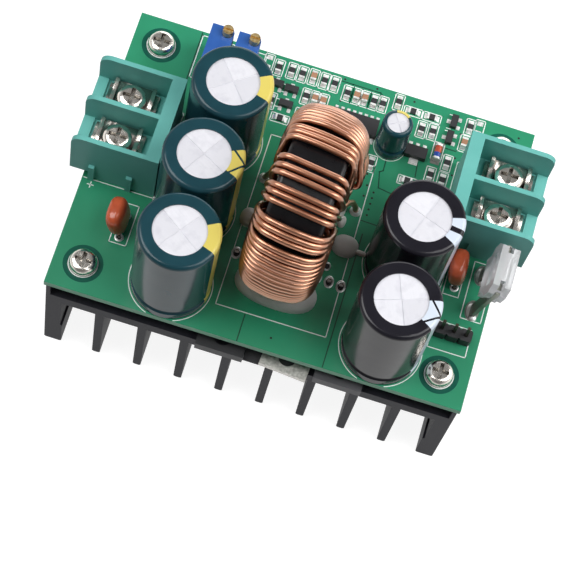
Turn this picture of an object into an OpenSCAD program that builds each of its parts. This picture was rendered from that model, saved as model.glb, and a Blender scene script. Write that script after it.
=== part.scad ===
// Step-up power converter module: a board of parts that stands on a finned heat sink.
// Board places are measured from the board's front left corner, heights from its top face.

/* [Board] */
// Length of the circuit board, left to right
board_w = 86; // [84:0.5:100]
// Depth of the circuit board, front to back
board_d = 64.3; // [63:0.1:80]
// Thickness of the circuit board
board_t = 1.6; // [1:0.1:2.4]
// Distance of each corner screw from the board's edges
corner_inset = 6.1; // [5:0.1:7]
// Diameter of a corner screw's shank
corner_screw_d = 2.9; // [2.4:0.1:3.4]
// Diameter of a corner screw's head
corner_head_d = 5.6; // [5:0.1:6.5]
// Outer diameter of the spacers under the board
spacer_d = 5.5; // [4.6:0.1:6]

/* [Heat sink] */
// How far the heat sink stays inside the board's left and right edges
sink_side_inset = 0.4; // [0:0.1:1]
// How far the heat sink stays inside the board's front and back edges
sink_end_inset = 0.3; // [0:0.1:1]
// Thickness of the heat sink's base plate
sink_base_t = 3; // [2:0.1:5]
// Height of the fins
fin_h = 20.5; // [10:0.1:40]
// Number of fins with the two end walls
fin_count = 10; // [6:1:12]
// Thickness of a fin at its root
fin_root_t = 1.8; // [1.4:0.1:2.6]
// Thickness of a fin at its tip
fin_tip_t = 1.7; // [1:0.1:2.4]
// Thickness of the two end walls
end_wall_t = 3.3; // [2.4:0.1:3.6]
// Thickness of the lips that rise to the board
lip_t = 0.9; // [0.6:0.1:1.4]

/* [Power devices] */
// Width of a power package
package_w = 9.9; // [9:0.1:10.2]
// Length of a power package with its tab
package_len = 15.6; // [14:0.1:17]
// Thickness of a power package
package_t = 4.5; // [4:0.1:5]
// Length of the thinner end with the mounting hole
tab_len = 6.3; // [5:0.1:7]
// Thickness of a bare metal tab
tab_t = 1.3; // [1:0.1:1.6]
// Thickness of the thin end of a fully moulded package
moulded_tab_t = 2.4; // [2:0.1:2.8]
// Mounting hole in a package
package_hole_d = 3.6; // [3:0.1:4]
// Thickness of the insulating sheet under the bare tab
sheet_t = 0.3; // [0.2:0.05:0.5]
// How far the left package reaches past the board's front edge
left_reach = 1.45; // [0.5:0.05:1.6]
// How far the bare tab's corner reaches past the board's front edge
tab_reach = 1.7; // [1.65:0.05:3]
// How far the right package reaches past the board's front edge
right_reach = 0.85; // [0.3:0.05:1.6]
// Turn of the bare-tab package, seen from above
tab_turn = 4.5; // [0:0.5:5]

/* [Terminals] */
// Width of a terminal block, from wire side to inner side
block_w = 17.8; // [17:0.1:18.6]
// Height of a terminal block
block_h = 15.3; // [14.6:0.1:18]
// Distance between the two poles
pole_pitch = 9.3; // [9:0.1:10]
// Thickness of the barrier walls
barrier_t = 1; // [0.8:0.05:1.2]
// Thickness of the wall on the inner side
inner_wall_t = 2.8; // [2:0.1:3]
// Height of the floor that carries the contacts
block_floor = 7; // [6:0.1:7.6]
// Height of the lip on the wire side
wire_lip_h = 7.6; // [6.6:0.1:7.9]
// Distance of the terminal screws from the wire side
terminal_screw_x = 8; // [7.6:0.1:8.4]
// Diameter of a terminal screw's shank
terminal_screw_d = 3.5; // [3:0.1:4]
// Diameter of a terminal screw's head
terminal_head_d = 6; // [5.4:0.1:6.4]
// How far the output block stands out past the left edge
output_reach = 2.85; // [1:0.05:4.2]
// How far the input block stands out past the right edge
input_reach = 4.05; // [1:0.05:4.2]
// Front face of the output block, from the board's front edge
output_y = 24.6; // [23:0.1:28]
// Front face of the input block, from the board's front edge
input_y = 32.9; // [32.6:0.1:34]

/* [Capacitors] */
// Diameter of the large capacitors with their sleeves
cap_d = 16.2; // [15:0.1:16.6]
// Height of the large capacitors
cap_h = 25; // [16:0.5:40]
// Thickness of a shrink sleeve
sleeve_t = 0.25; // [0.15:0.05:0.4]
// Radius of the bare disc on top of a large capacitor
vent_r = 5.3; // [4:0.1:6]
// Gap between the output capacitors
output_cap_gap = 0.6; // [0.3:0.1:1.2]
// Gap between the input capacitors
input_cap_gap = 1.8; // [0.5:0.1:2.2]
// Diameter of the small capacitor with its sleeve
small_cap_d = 6.3; // [5:0.1:6.4]
// Height of the small capacitor
small_cap_h = 11; // [7:0.5:15]

// Diameter of the dipped capacitors
film_d = 6.8; // [6:0.1:7.4]
// Thickness of the dipped capacitors
film_t = 3.9; // [3:0.1:4]

/* [Inductor] */
// Outer diameter of the ring core
core_od = 34.2; // [30:0.1:35]
// Inner diameter of the ring core
core_id = 19.5; // [18.5:0.1:22]
// Width of the ring core
core_w = 11.5; // [9:0.1:12]
// Diameter of the winding wire
wire_d = 1.25; // [1:0.05:1.3]
// Turn of the ring, seen from above
ring_turn = -3; // [-5:0.5:5]

/* [Trimmers] */
// Width of a trimmer
trimmer_w = 4.83; // [4.4:0.01:5.2]
// Length of a trimmer
trimmer_len = 9.53; // [9:0.01:10]
// Height of a trimmer's top above the board
trimmer_h = 10; // [8:0.1:12]
// Diameter of the adjusting screw
adjuster_d = 2.2; // [1.8:0.1:2.4]
// How far the adjusting screw stands up
adjuster_h = 1.6; // [1:0.1:2.5]

/* [Fuse and header] */
// Width of the blade fuse
fuse_w = 11; // [10:0.1:12]
// Thickness of the blade fuse
fuse_t = 3.8; // [3.4:0.1:4.4]
// Height of the blade fuse's top, along its blades
fuse_top = 16; // [14:0.1:18]
// Height of the blade fuse's underside, along its blades
fuse_foot = 7.5; // [5:0.1:8]
// Lean of the blade fuse towards the board's edge
fuse_lean = 10; // [0:1:12]
// Spacing of the header's pins
pin_pitch = 2.54; // [2:0.01:2.6]
// Thickness of the header's square pins
pin_t = 0.64; // [0.5:0.01:0.7]

/* [Hidden] */
$fn = 48;

// Shared clearances
cut = 0.5;
seat = 0.05;
hole_play = 0.3;

// Heights
board_gap = package_t + sheet_t;
sink_top = fin_h + sink_base_t;
board_top = sink_top + board_gap + board_t;
lead_tail = 1;

// The origin is under the middle of the whole module
origin_x = (board_w + input_reach - output_reach) / 2;
origin_y = (board_d - tab_reach) / 2;

// Heat sink
sink_w = board_w - 2 * sink_side_inset;
sink_d = board_d - 2 * sink_end_inset;
fin_gap = (sink_w - 2 * end_wall_t - (fin_count - 2) * fin_root_t) / (fin_count - 1);
fin_chamfer = 0.35;
end_foot = 0.4;
end_foot_h = 8.5;
corner_points = [
    for (x = [corner_inset, board_w - corner_inset], y = [corner_inset, board_d - corner_inset]) [x, y]
];
corner_hole_d = corner_screw_d + 2 * seat;
corner_head_h = 2.1;
cross_w = 0.8;
cross_share = 0.62;
cross_depth = 1.1;

// Power devices: left edges along the front, then the leads behind each package
package_play = 0.1;
left_x = 31.9;
tab_gap = 3.3;
tab_x = left_x + package_w + tab_gap;
right_x = tab_x + package_w + package_len * sin(tab_turn) + package_play;
lead_pitch = 2.54;
lead_w = 0.8;
lead_t = 0.5;
lead_level = 2.7;
lead_hole_d = 1.3;
// How far each device's leads run back, and how far they are set to the side on the way
left_leads = [4.35, 0];
tab_leads = [4.35, 2.1];
right_leads = [3, 2.1];
sheet_side = tab_gap - package_play;
sheet_reach = 0.8;
sheet_len = 17;

// Terminal blocks
poles = 2;
block_len = poles * pole_pitch + barrier_t;
block_nose = 4.4;
nose_z = 2.2;
barrier_round = 2.4;
wire_lip_t = 2.2;
contact_t = 1;
contact_w = 6.6;
contact_half = 5.2;
contact_pin = [1, 2];
contact_pin_x = 3.6;
contact_slot = contact_pin + [0.2, 0.2];
clamp_t = 1;
clamp_w = 7.4;
clamp_half = 4.3;
clamp_edge_t = 0.8;
clamp_edge_h = 0.9;
terminal_head_h = 2.3;
terminal_shank = 7.4;
clamp_z = block_floor + contact_t + seat;
recess_w = pole_pitch - barrier_t - 1.6;
recess_depth = 3.4;
recess_h = 3;
rib_w = 1.2;
rib_out = 0.7;
rib_h = 5.5;
rib_x = [4.6, 12.4];

// Capacitors: the output ones stand in a row from front to back, and so do the input ones
cap_r = cap_d / 2;
cap_base = 0.3;
cap_lead_pitch = 7.5;
cap_lead_d = 0.8;
cap_edge = 0.9;
crimp_z = 2.6;
crimp_out = 0.45;
crimp_r = 0.9;
score_w = 0.3;
score_depth = 0.12;
output_cap_x = [23.7, 23.4, 24.2];
output_caps = [for (k = [0:2]) [output_cap_x[k], cap_r + k * (cap_d + output_cap_gap)]];
input_cap_from_right = 18.75;
input_caps = [for (k = [0, 1]) [board_w - input_cap_from_right, cap_r + k * (cap_d + input_cap_gap)]];
small_cap = [57.6, board_d - 12.8];
small_lead_pitch = 2.5;
small_lead_d = 0.5;
small_vent_r = 2.3;

// Inductor: the ring stands upright on a bed of silicone
ring_x = 44.3;
ring_y = 24;
wire_r = wire_d / 2;
wire_seat = 0.05;
core_edge = 1;
wire_out_r = core_od / 2 + wire_seat + wire_r;
wire_in_r = core_id / 2 - wire_seat - wire_r;
wire_side = core_w / 2 + wire_seat + wire_r;
wire_corner = 1;
wire_layers = 3;
layer_step = wire_d + wire_seat;
leg_bend_r = wire_out_r - 0.3 * (wire_out_r - wire_in_r);
leg_bend_share = 0.6;
wire_sides = 8;
turn_slant = 3.8;
turn_step = (wire_d + 0.07) / wire_out_r * 180 / PI;
loose_step = turn_step + 0.5;
hidden_step = 12;
ring_lift = 0.4;
ring_z = wire_out_r + wire_r + ring_lift;
wire_tail = [3.4, 11.5];
tail_rise = 5;
tail_bend = [1.6, 2.2];
wire_hole_d = wire_d + 2 * hole_play;
glue_gap = 0.1;
glue_r = 4;
glue_top = 6;
glue_half_w = 8.3;
glue_reach = [-17, -4];
glue_drops = [[-9.6, 3.2, 2.6, 1.6], [10.2, 3.3, 3.6, 2]];

// Trimmers
trimmer_x = [15.6, 21.3];
trimmer_from_back = 3;
trimmer_foot = 0.5;
trimmer_notch = 0.9;
adjuster_inset = 1.35;
adjuster_hold = 2.4;
adjuster_slot = 0.5;
trimmer_pin_d = 0.5;

// Dipped capacitors
film_base = 1.2;
film_seat = 0.1;
film_lead_pitch = 5;
film_lead_d = 0.6;
output_film = [11.1, 16.3];
output_film_lean = -15;
input_film = [board_w - 7.8, 27.7];
input_film_lean = -7;

// Fuse
fuse_from_right = 3.1;
fuse_y = 25.5;
blade_w = 2.8;
blade_t = 0.8;
blade_pitch = 8;
blade_play = 0.15;
slot_play = 0.6;
blade_rise = fuse_top - 1.6;
fuse_shoulder = 2.2;
fuse_neck = 1.4;
fuse_window = 0.5;
link_h = 1.3;

// Header
header_from_right = 5.7;
header_y = 14.9;
header_pins_n = 3;
header_h = 2.5;
header_pin_top = 6;
header_bevel = 0.35;
header_bridge = 1.8;
header_play = 0.02;

// Small surface parts, each as distance along the edge, distance from the back edge, and turn
chip_w = 1.25;
chip_len = 2;
chip_h = 0.55;
chip_end = 0.4;
chip_lift = 0.02;
row_back = 2.7;
pair_back = 7.5;
five_back = 3.9;
left_resistors = [
    [30.8, 2.9, 0], [33.6, row_back, 0], [35.9, row_back, 0], [40.7, row_back, 0], [42.9, row_back, 0],
    [38, pair_back, 0], [31.3, 10.8, 0], [37.8, 12.4, 0], [34.2, 14.2, 90],
    [46, five_back, 0], [51.8, five_back, 0], [53.7, five_back, 0], [56.8, 2.3, 0], [54.9, 17.9, 0]
];
right_resistors = [
    [25.8, 3.4, 90], [21.7, 3.4, 90], [23.1, 6.8, 0], [20.7, 6.6, 0], [13.5, 2.9, 0],
    [16.1, 12.6, 0], [18.8, 16.4, 0], [16.1, 16.8, 0], [23, 19.3, 90]
];
left_ceramics = [
    [38.3, 2.6, 0], [39.9, pair_back, 0], [41.7, pair_back, 0], [48, five_back, 0], [49.8, five_back, 0]
];
right_ceramics = [[13.8, 7, 0]];
left_transistor_places = [[34.7, 7.1, 0], [34.5, 10.8, 0], [31.4, 6.8, 0]];
right_transistor_places = [[17, 3, 90], [17.1, 6.9, 90]];
sot_size = [2.9, 1.4, 1.1];
sot_pin = [0.45, 0.65, 0.2];
sot_pin_step = 0.95;
soic_place = [49.2, 10.4];
soic_size = [9.9, 3.9, 1.5];
soic_pins = 8;
soic_pitch = 1.27;
soic_pin = [0.42, 1.05, 0.22];
reg_place = [22.9, 12.7];
reg_size = [4.5, 2.5, 1.5];
reg_pin = [0.5, 1.1, 0.3];
reg_pitch = 1.5;
diode_place = [18.6, 11.2];
diode_d = 1.5;
diode_len = 2.6;
diode_cap_d = 1.7;
diode_cap_len = 0.45;

// Frames
module on_board() translate([-origin_x, -origin_y, board_top]) children();
module on_sink() translate([-origin_x, -origin_y, sink_top]) children();
module along_y(length) translate([0, length, 0]) rotate([90, 0, 0]) linear_extrude(length) children();
module at_points(points) for (p = points) translate([p.x, p.y, 0]) children();
module drill(points, d) at_points(points)
    translate([0, 0, -board_t - cut]) cylinder(d = d, h = board_t + 2 * cut);

// Heat sink: an extruded comb with two thick end walls and a lip on each end
module fin() polygon([
    [-fin_tip_t / 2 + fin_chamfer, 0], [fin_tip_t / 2 - fin_chamfer, 0], [fin_tip_t / 2, fin_chamfer],
    [fin_root_t / 2, fin_h + sink_base_t / 2], [-fin_root_t / 2, fin_h + sink_base_t / 2],
    [-fin_tip_t / 2, fin_chamfer]
]);
module end_wall() {
    polygon([
        [fin_chamfer, 0], [end_wall_t + end_foot - fin_chamfer, 0], [end_wall_t + end_foot, fin_chamfer],
        [end_wall_t + end_foot, end_foot_h], [end_wall_t, end_foot_h + end_foot],
        [end_wall_t, fin_h + sink_base_t / 2], [0, fin_h + sink_base_t / 2], [0, fin_chamfer]
    ]);
    translate([0, fin_h]) square([lip_t, sink_base_t + board_gap - seat]);
}
module sink_profile() {
    translate([0, fin_h]) square([sink_w, sink_base_t]);
    end_wall();
    translate([sink_w, 0]) mirror([1, 0]) end_wall();
    for (k = [1:fin_count - 2])
        translate([end_wall_t + k * fin_gap + (k - 0.5) * fin_root_t, 0]) fin();
}
module heatsink() color("#26262b") difference() {
    translate([sink_side_inset - origin_x, sink_end_inset - origin_y, 0]) along_y(sink_d) sink_profile();
    on_sink() at_points(corner_points)
        translate([0, 0, -sink_base_t - cut]) cylinder(d = corner_hole_d, h = sink_base_t + 2 * cut);
}

// Circuit board with every hole that a lead or a screw goes through
function both_ways(points, pitch) = [for (p = points, s = [-1, 1]) p + [0, s * pitch / 2]];
module at_left_device() translate([left_x, -left_reach, 0]) children();
module at_right_device() translate([right_x, -right_reach, 0]) children();
module at_tab_device() translate([tab_x + package_w, -tab_reach, 0])
    rotate([0, 0, -tab_turn]) translate([-package_w, 0, 0]) children();
function lead_points(leads) = [
    for (s = [-1:1]) [package_w / 2 + leads[1] + s * lead_pitch, package_len + leads[0] - lead_t / 2]
];
trimmer_y = board_d - trimmer_from_back - trimmer_len;
trimmer_pin_points = [
    for (x = trimmer_x, s = [-1:1]) [x + trimmer_w / 2, trimmer_y + trimmer_len / 2 + s * lead_pitch]
];
film_lead_points = both_ways([output_film, input_film], film_lead_pitch);
header_points = [
    for (k = [0:header_pins_n - 1])
        [board_w - header_from_right + (k - (header_pins_n - 1) / 2) * pin_pitch, header_y]
];
function pole_y(k) = barrier_t / 2 + (k + 0.5) * pole_pitch;
pin_points = [for (k = [0:poles - 1]) [terminal_screw_x + contact_pin_x, pole_y(k)]];
module at_output_block() translate([-output_reach, output_y, 0]) children();
module at_input_block() translate([board_w + input_reach, input_y + block_len, 0])
    rotate([0, 0, 180]) children();
module at_ring() translate([ring_x, ring_y, 0]) rotate([0, 0, ring_turn]) children();
module at_fuse() translate([board_w - fuse_from_right, fuse_y, 0]) children();
wire_tail_points = [for (s = [-1, 1]) [s * (wire_side + wire_tail[0]), wire_tail[1]]];
module blade_slots() for (s = [-1, 1]) translate([-board_t * tan(fuse_lean) / 2, s * blade_pitch / 2, 0]) {
    slot_w = blade_t + board_t * tan(fuse_lean) + 2 * slot_play;
    half = blade_w / 2 + slot_play - slot_w / 2;
    drill([[0, -half], [0, half]], slot_w);
    translate([-slot_w / 2, -half, -board_t - cut]) cube([slot_w, 2 * half, board_t + 2 * cut]);
}
module circuit_board() color("#2f8f63") on_board() difference() {
    translate([0, 0, -board_t]) cube([board_w, board_d, board_t]);
    drill(corner_points, corner_screw_d + 2 * hole_play);
    drill(both_ways(concat(output_caps, input_caps), cap_lead_pitch), cap_lead_d + hole_play);
    drill(both_ways([small_cap], small_lead_pitch), small_lead_d + hole_play);
    drill(film_lead_points, film_lead_d + hole_play);
    drill(trimmer_pin_points, trimmer_pin_d + hole_play);
    drill(header_points, pin_t * sqrt(2) + hole_play);
    at_left_device() drill(lead_points(left_leads), lead_hole_d);
    at_tab_device() drill(lead_points(tab_leads), lead_hole_d);
    at_right_device() drill(lead_points(right_leads), lead_hole_d);
    at_output_block() drill(pin_points, norm(contact_pin) + hole_play);
    at_input_block() drill(pin_points, norm(contact_pin) + hole_play);
    at_ring() drill(wire_tail_points, wire_hole_d);
    at_fuse() blade_slots();
}

// Round-headed screw with a cross recess, its head standing on z = 0
module screw(head_d, head_h, shank_d, shank_len) {
    edge = head_h * 0.6;
    difference() {
        rotate_extrude() {
            square([head_d / 2 - edge, head_h]);
            square([head_d / 2, head_h - edge]);
            intersection() {
                translate([head_d / 2 - edge, head_h - edge]) circle(edge);
                square([head_d / 2, head_h]);
            }
        }
        for (a = [0, 90]) rotate([0, 0, a])
            translate([-head_d * cross_share / 2, -cross_w / 2, head_h - cross_depth])
                cube([head_d * cross_share, cross_w, cross_depth + cut]);
    }
    translate([0, 0, -shank_len]) cylinder(d = shank_d, h = shank_len);
}
module board_screws() color("#d9d6d0") on_board() at_points(corner_points)
    screw(corner_head_d, corner_head_h, corner_screw_d, board_t + board_gap + sink_base_t - cut);
module board_spacers() color("#c9b27a") on_sink() at_points(corner_points) difference() {
    cylinder(d = spacer_d, h = board_gap);
    translate([0, 0, -cut]) cylinder(d = corner_screw_d + 2 * hole_play, h = board_gap + 2 * cut);
}

// Power devices lie flat under the board's front edge, with their leads bent up behind
module package_holes(height) translate([package_w / 2, tab_len / 2, -cut])
    cylinder(d = package_hole_d, h = height + 2 * cut);
module moulded_package() difference() {
    union() {
        cube([package_w, package_len, moulded_tab_t]);
        translate([0, tab_len, 0]) cube([package_w, package_len - tab_len, board_gap - package_play]);
    }
    package_holes(moulded_tab_t);
}
module left_transistor() color("#2b2b30") on_sink() at_left_device() moulded_package();
module right_transistor() color("#6b6b70") on_sink() at_right_device() moulded_package();
module rectifier_tab() color("#b9b7b2") on_sink() at_tab_device() translate([0, 0, sheet_t]) difference() {
    cube([package_w, package_len - 1, tab_t]);
    package_holes(tab_t);
}
module rectifier_body() color("#232328") on_sink() at_tab_device()
    translate([0, tab_len, sheet_t + tab_t])
        cube([package_w, package_len - tab_len, package_t - tab_t - package_play]);
module insulating_sheet() color("#3b3b40") on_sink()
    translate([tab_x - sheet_side, -sheet_reach, 0]) cube([package_w + sheet_side, sheet_len, sheet_t]);
module bent_lead(leads) {
    half = lead_w / 2;
    translate([0, 0, lead_level]) linear_extrude(lead_t)
        polygon([[-half, 0], [half, 0], [half + leads[1], leads[0]], [leads[1] - half, leads[0]]]);
    translate([leads[1] - half, leads[0] - lead_t, lead_level])
        cube([lead_w, lead_t, board_gap + board_t + lead_tail * 0.8 - lead_level]);
}
module three_leads(leads) for (s = [-1:1])
    translate([package_w / 2 + s * lead_pitch, package_len, 0]) bent_lead(leads);
module power_leads() color("#c8c6c2") on_sink() {
    at_left_device() three_leads(left_leads);
    at_tab_device() three_leads(tab_leads);
    at_right_device() three_leads(right_leads);
}

// Two-pole barrier terminal block, wire side at x = 0
module barrier_profile() {
    translate([0, nose_z]) square([block_w, block_h - barrier_round - nose_z]);
    translate([barrier_round, nose_z]) square([block_w - barrier_round, block_h - nose_z]);
    translate([barrier_round, block_h - barrier_round]) circle(barrier_round);
}
module rib(out, w) translate([-w / 2, -out, 0]) cube([w, out + cut, rib_h]);
module terminal_block() difference() {
    union() {
        for (k = [0:poles]) translate([0, k * pole_pitch, 0]) along_y(barrier_t) barrier_profile();
        translate([block_w - inner_wall_t, 0, 0]) cube([inner_wall_t, block_len, block_h]);
        translate([block_nose, 0, 0]) cube([block_w - block_nose, block_len, block_floor]);
        translate([0, 0, nose_z]) cube([block_nose + cut, block_len, block_floor - nose_z]);
        translate([0, 0, nose_z]) cube([wire_lip_t, block_len, wire_lip_h - nose_z]);
        for (x = rib_x) translate([x, 0, 0]) rib(rib_out, rib_w);
    }
    for (k = [0:poles - 1]) translate([0, pole_y(k), 0]) {
        translate([terminal_screw_x, 0, 1]) cylinder(d = terminal_screw_d + 0.7, h = block_floor);
        translate([terminal_screw_x + contact_pin_x - contact_slot.x / 2, -contact_slot.y / 2, -cut])
            cube([contact_slot.x, contact_slot.y, block_floor + 2 * cut]);
        translate([-cut, -recess_w / 2, nose_z - cut]) cube([recess_depth + cut, recess_w, recess_h + cut]);
    }
    for (x = rib_x) translate([x, block_len, -cut]) mirror([0, 1, 0])
        translate([-rib_w / 2 - 0.1, -cut, 0]) cube([rib_w + 0.2, rib_out + cut, rib_h + cut]);
}
module output_terminal() color("#4f9f92") on_board() at_output_block() terminal_block();
module input_terminal() color("#6fc4b7") on_board() at_input_block() terminal_block();

// Contact plate with its solder pin, one for each pole
module contact(k) translate([terminal_screw_x, pole_y(k), block_floor]) {
    difference() {
        translate([-contact_half, -contact_w / 2, 0]) cube([2 * contact_half, contact_w, contact_t]);
        translate([0, 0, -cut]) cylinder(d = terminal_screw_d + 2 * seat, h = contact_t + 2 * cut);
    }
    translate([contact_pin_x - contact_pin[0] / 2, -contact_pin[1] / 2, -block_floor - board_t - lead_tail])
        cube([contact_pin[0], contact_pin[1], block_floor + board_t + lead_tail + contact_t / 2]);
}
module output_contacts() color("#d7d3c6") on_board() at_output_block() for (k = [0:poles - 1]) contact(k);
module input_contacts() color("#d7d3c6") on_board() at_input_block() for (k = [0:poles - 1]) contact(k);

// Square clamp washer with two turned-up edges, and the screw that presses it down
module clamp(k) translate([terminal_screw_x, pole_y(k), clamp_z]) difference() {
    translate([0, -clamp_w / 2, 0]) along_y(clamp_w) {
        translate([-clamp_half, 0]) square([2 * clamp_half, clamp_t]);
        for (x = [-clamp_half, clamp_half - clamp_edge_t])
            translate([x, 0]) square([clamp_edge_t, clamp_t + clamp_edge_h]);
    }
    translate([0, 0, -cut]) cylinder(d = terminal_screw_d + 2 * seat, h = clamp_t + 2 * cut);
}
module clamp_screw(k) translate([terminal_screw_x, pole_y(k), clamp_z + clamp_t + seat])
    screw(terminal_head_d, terminal_head_h, terminal_screw_d, terminal_shank);
module output_front_clamp() color("#dcd8cc") on_board() at_output_block() clamp(0);
module output_rear_clamp() color("#dcd8cc") on_board() at_output_block() clamp(1);
module input_front_clamp() color("#dcd8cc") on_board() at_input_block() clamp(1);
module input_rear_clamp() color("#dcd8cc") on_board() at_input_block() clamp(0);
module output_front_screw() color("#cfc8bd") on_board() at_output_block() clamp_screw(0);
module output_rear_screw() color("#cfc8bd") on_board() at_output_block() clamp_screw(1);
module input_front_screw() color("#cfc8bd") on_board() at_input_block() clamp_screw(1);
module input_rear_screw() color("#cfc8bd") on_board() at_input_block() clamp_screw(0);

// Electrolytic capacitor: half section of the outside, taken in by an inset for the inner faces
module cap_section(d, h, inset) difference() {
    r = d / 2 - inset;
    top = h - inset;
    edge = cap_edge - inset;
    union() {
        square([r - edge, top]);
        square([r, top - edge]);
        translate([r - edge, top - edge]) circle(edge);
    }
    translate([d / 2 + crimp_out, crimp_z]) circle(crimp_r + inset);
    translate([-r, 0]) square([r, top]);
}
module cap_sleeve(d, h, vent) translate([0, 0, cap_base]) rotate_extrude() difference() {
    cap_section(d, h - cap_base, 0);
    cap_section(d, h - cap_base, sleeve_t);
    square([vent, h]);
}
module cap_can(d, h, vent, lead_gap, lead_d, turn) {
    inset = sleeve_t + seat;
    difference() {
        translate([0, 0, cap_base]) rotate_extrude() cap_section(d, h - cap_base, inset);
        for (a = [0, 90]) rotate([0, 0, turn + a])
            translate([-vent, -score_w / 2, h - inset - score_depth])
                cube([2 * vent, score_w, score_depth + cut]);
    }
    for (s = [-1, 1]) translate([0, s * lead_gap / 2, -board_t - lead_tail])
        cylinder(d = lead_d, h = board_t + lead_tail + cap_base + cut);
}
module big_can(p, turn) on_board() translate([p.x, p.y, 0])
    cap_can(cap_d, cap_h, vent_r, cap_lead_pitch, cap_lead_d, turn);
module big_sleeve(p) on_board() translate([p.x, p.y, 0]) cap_sleeve(cap_d, cap_h, vent_r);
module output_cap_front_can() color("#dcdce2") big_can(output_caps[0], 55);
module output_cap_front_sleeve() color("#24505d") big_sleeve(output_caps[0]);
module output_cap_mid_can() color("#dcdce2") big_can(output_caps[1], 60);
module output_cap_mid_sleeve() color("#24505d") big_sleeve(output_caps[1]);
module output_cap_back_can() color("#dcdce2") big_can(output_caps[2], 38);
module output_cap_back_sleeve() color("#24505d") big_sleeve(output_caps[2]);
module input_cap_front_can() color("#dcdce2") big_can(input_caps[0], 20);
module input_cap_front_sleeve() color("#23222c") big_sleeve(input_caps[0]);
module input_cap_back_can() color("#dcdce2") big_can(input_caps[1], 70);
module input_cap_back_sleeve() color("#23222c") big_sleeve(input_caps[1]);
module bias_cap_can() color("#dcdce2") on_board() translate([small_cap.x, small_cap.y, 0])
    cap_can(small_cap_d, small_cap_h, small_vent_r, small_lead_pitch, small_lead_d, 30);
module bias_cap_sleeve() color("#24505d") on_board() translate([small_cap.x, small_cap.y, 0])
    cap_sleeve(small_cap_d, small_cap_h, small_vent_r);

// Inductor: ring core, one continuous wire round it, and the silicone that holds it down
module in_ring() on_board() at_ring() translate([0, 0, ring_z]) children();
module inductor_core() color("#1c1b20") in_ring() rotate([0, 90, 0]) rotate_extrude() {
    inner = core_id / 2;
    outer = core_od / 2;
    translate([inner + core_edge, -core_w / 2]) square([outer - inner - 2 * core_edge, core_w]);
    translate([inner, core_edge - core_w / 2]) square([outer - inner, core_w - 2 * core_edge]);
    for (r = [inner + core_edge, outer - core_edge], z = [-1, 1])
        translate([r, z * (core_w / 2 - core_edge)]) circle(core_edge);
}

// Angles of the turns, from the ring's top towards the front.
// There is a bunch behind, a few loose turns on top and a bunch in front.
function bunch(start, count, step) = [for (k = [0:count - 1]) start + k * step];
turn_angles = concat(
    bunch(-134, 4, hidden_step),
    bunch(-28 - 13 * turn_step, 14, turn_step), bunch(-13 - 2 * loose_step, 3, loose_step),
    [2.5], bunch(8.5, 2, loose_step), bunch(21.5, 3, loose_step),
    bunch(42.3, 3, turn_step), bunch(57.5, 14, turn_step),
    bunch(57.5 + 13 * turn_step + hidden_step, 8, hidden_step)
);
turns = len(turn_angles);
function ring_point(a, r, t) = [a, -r * sin(t), r * cos(t)];
function ring_tangent(t) = [0, -cos(t), -sin(t)];
// One turn, as points with the ring angle of each.
// It goes across the outside, down one face, back through the hole and up the other face.
function turn_start(k) = turn_angles[k] - turn_slant / 2;
function turn_end(k) = turn_angles[k] + turn_slant / 2;
function turn_path(k) = let (
    t0 = turn_start(k), t1 = turn_end(k), t2 = k < turns - 1 ? turn_start(k + 1) : t1,
    out = (k % wire_layers) * layer_step, inside = wire_in_r - out
) concat(
    [
        [ring_point(-(wire_side - wire_corner), wire_out_r, t0), t0],
        [ring_point(wire_side - wire_corner, wire_out_r, t1), t1]
    ],
    k == turns - 1 ? [] : [
        [ring_point(wire_side, wire_out_r - wire_corner, t1), t1],
        [ring_point(wire_side + leg_bend_share * out, leg_bend_r, t1), t1],
        [ring_point(wire_side + out, inside, t1), t1],
        [ring_point(-wire_side - out, inside, t2), t2],
        [ring_point(-wire_side - leg_bend_share * out, leg_bend_r, t2), t2],
        [ring_point(-wire_side, wire_out_r - wire_corner, t2), t2]
    ]
);
// Each end of the wire goes down through the board beside the ring
function tail_path(side, t) = let (p = [side * (wire_side + wire_tail[0]), wire_tail[1]]) [
    [[p.x, p.y, -ring_z - board_t - lead_tail], t],
    [[p.x, p.y, -ring_z + tail_rise], t],
    [[p.x - side * tail_bend[0], p.y, -ring_z + tail_rise + tail_bend[1]], t]
];
function reversed(list) = [for (k = [len(list) - 1:-1:0]) list[k]];
wire_path = concat(
    tail_path(-1, turn_start(0)),
    [for (k = [0:turns - 1]) each turn_path(k)],
    reversed(tail_path(1, turn_end(turns - 1)))
);
function unit(v) = v / norm(v);
function wire_ring(k) = let (
    p = wire_path[k][0],
    ahead = unit(wire_path[min(k + 1, len(wire_path) - 1)][0] - wire_path[max(k - 1, 0)][0]),
    across = unit(cross(ring_tangent(wire_path[k][1]), ahead)),
    along = cross(ahead, across)
) [for (a = [0:360 / wire_sides:359]) p + wire_r * (cos(a) * across + sin(a) * along)];
module inductor_winding() {
    rings = len(wire_path);
    points = [for (k = [0:rings - 1]) each wire_ring(k)];
    walls = [
        for (k = [0:rings - 2], s = [0:wire_sides - 1])
            let (a = k * wire_sides + s, b = k * wire_sides + (s + 1) % wire_sides)
                each [[a, a + wire_sides, b], [b, a + wire_sides, b + wire_sides]]
    ];
    first = [for (s = [0:wire_sides - 1]) s];
    last = [for (s = [wire_sides - 1:-1:0]) (rings - 1) * wire_sides + s];
    color("#c07a4c") in_ring() polyhedron(points, concat(walls, [first, last]));
}
module glue_bed() hull()
    for (x = [glue_r - glue_half_w, glue_half_w - glue_r], y = glue_reach + [glue_r, -glue_r])
        translate([x, y, glue_top - glue_r]) sphere(glue_r, $fn = 24);
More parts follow.
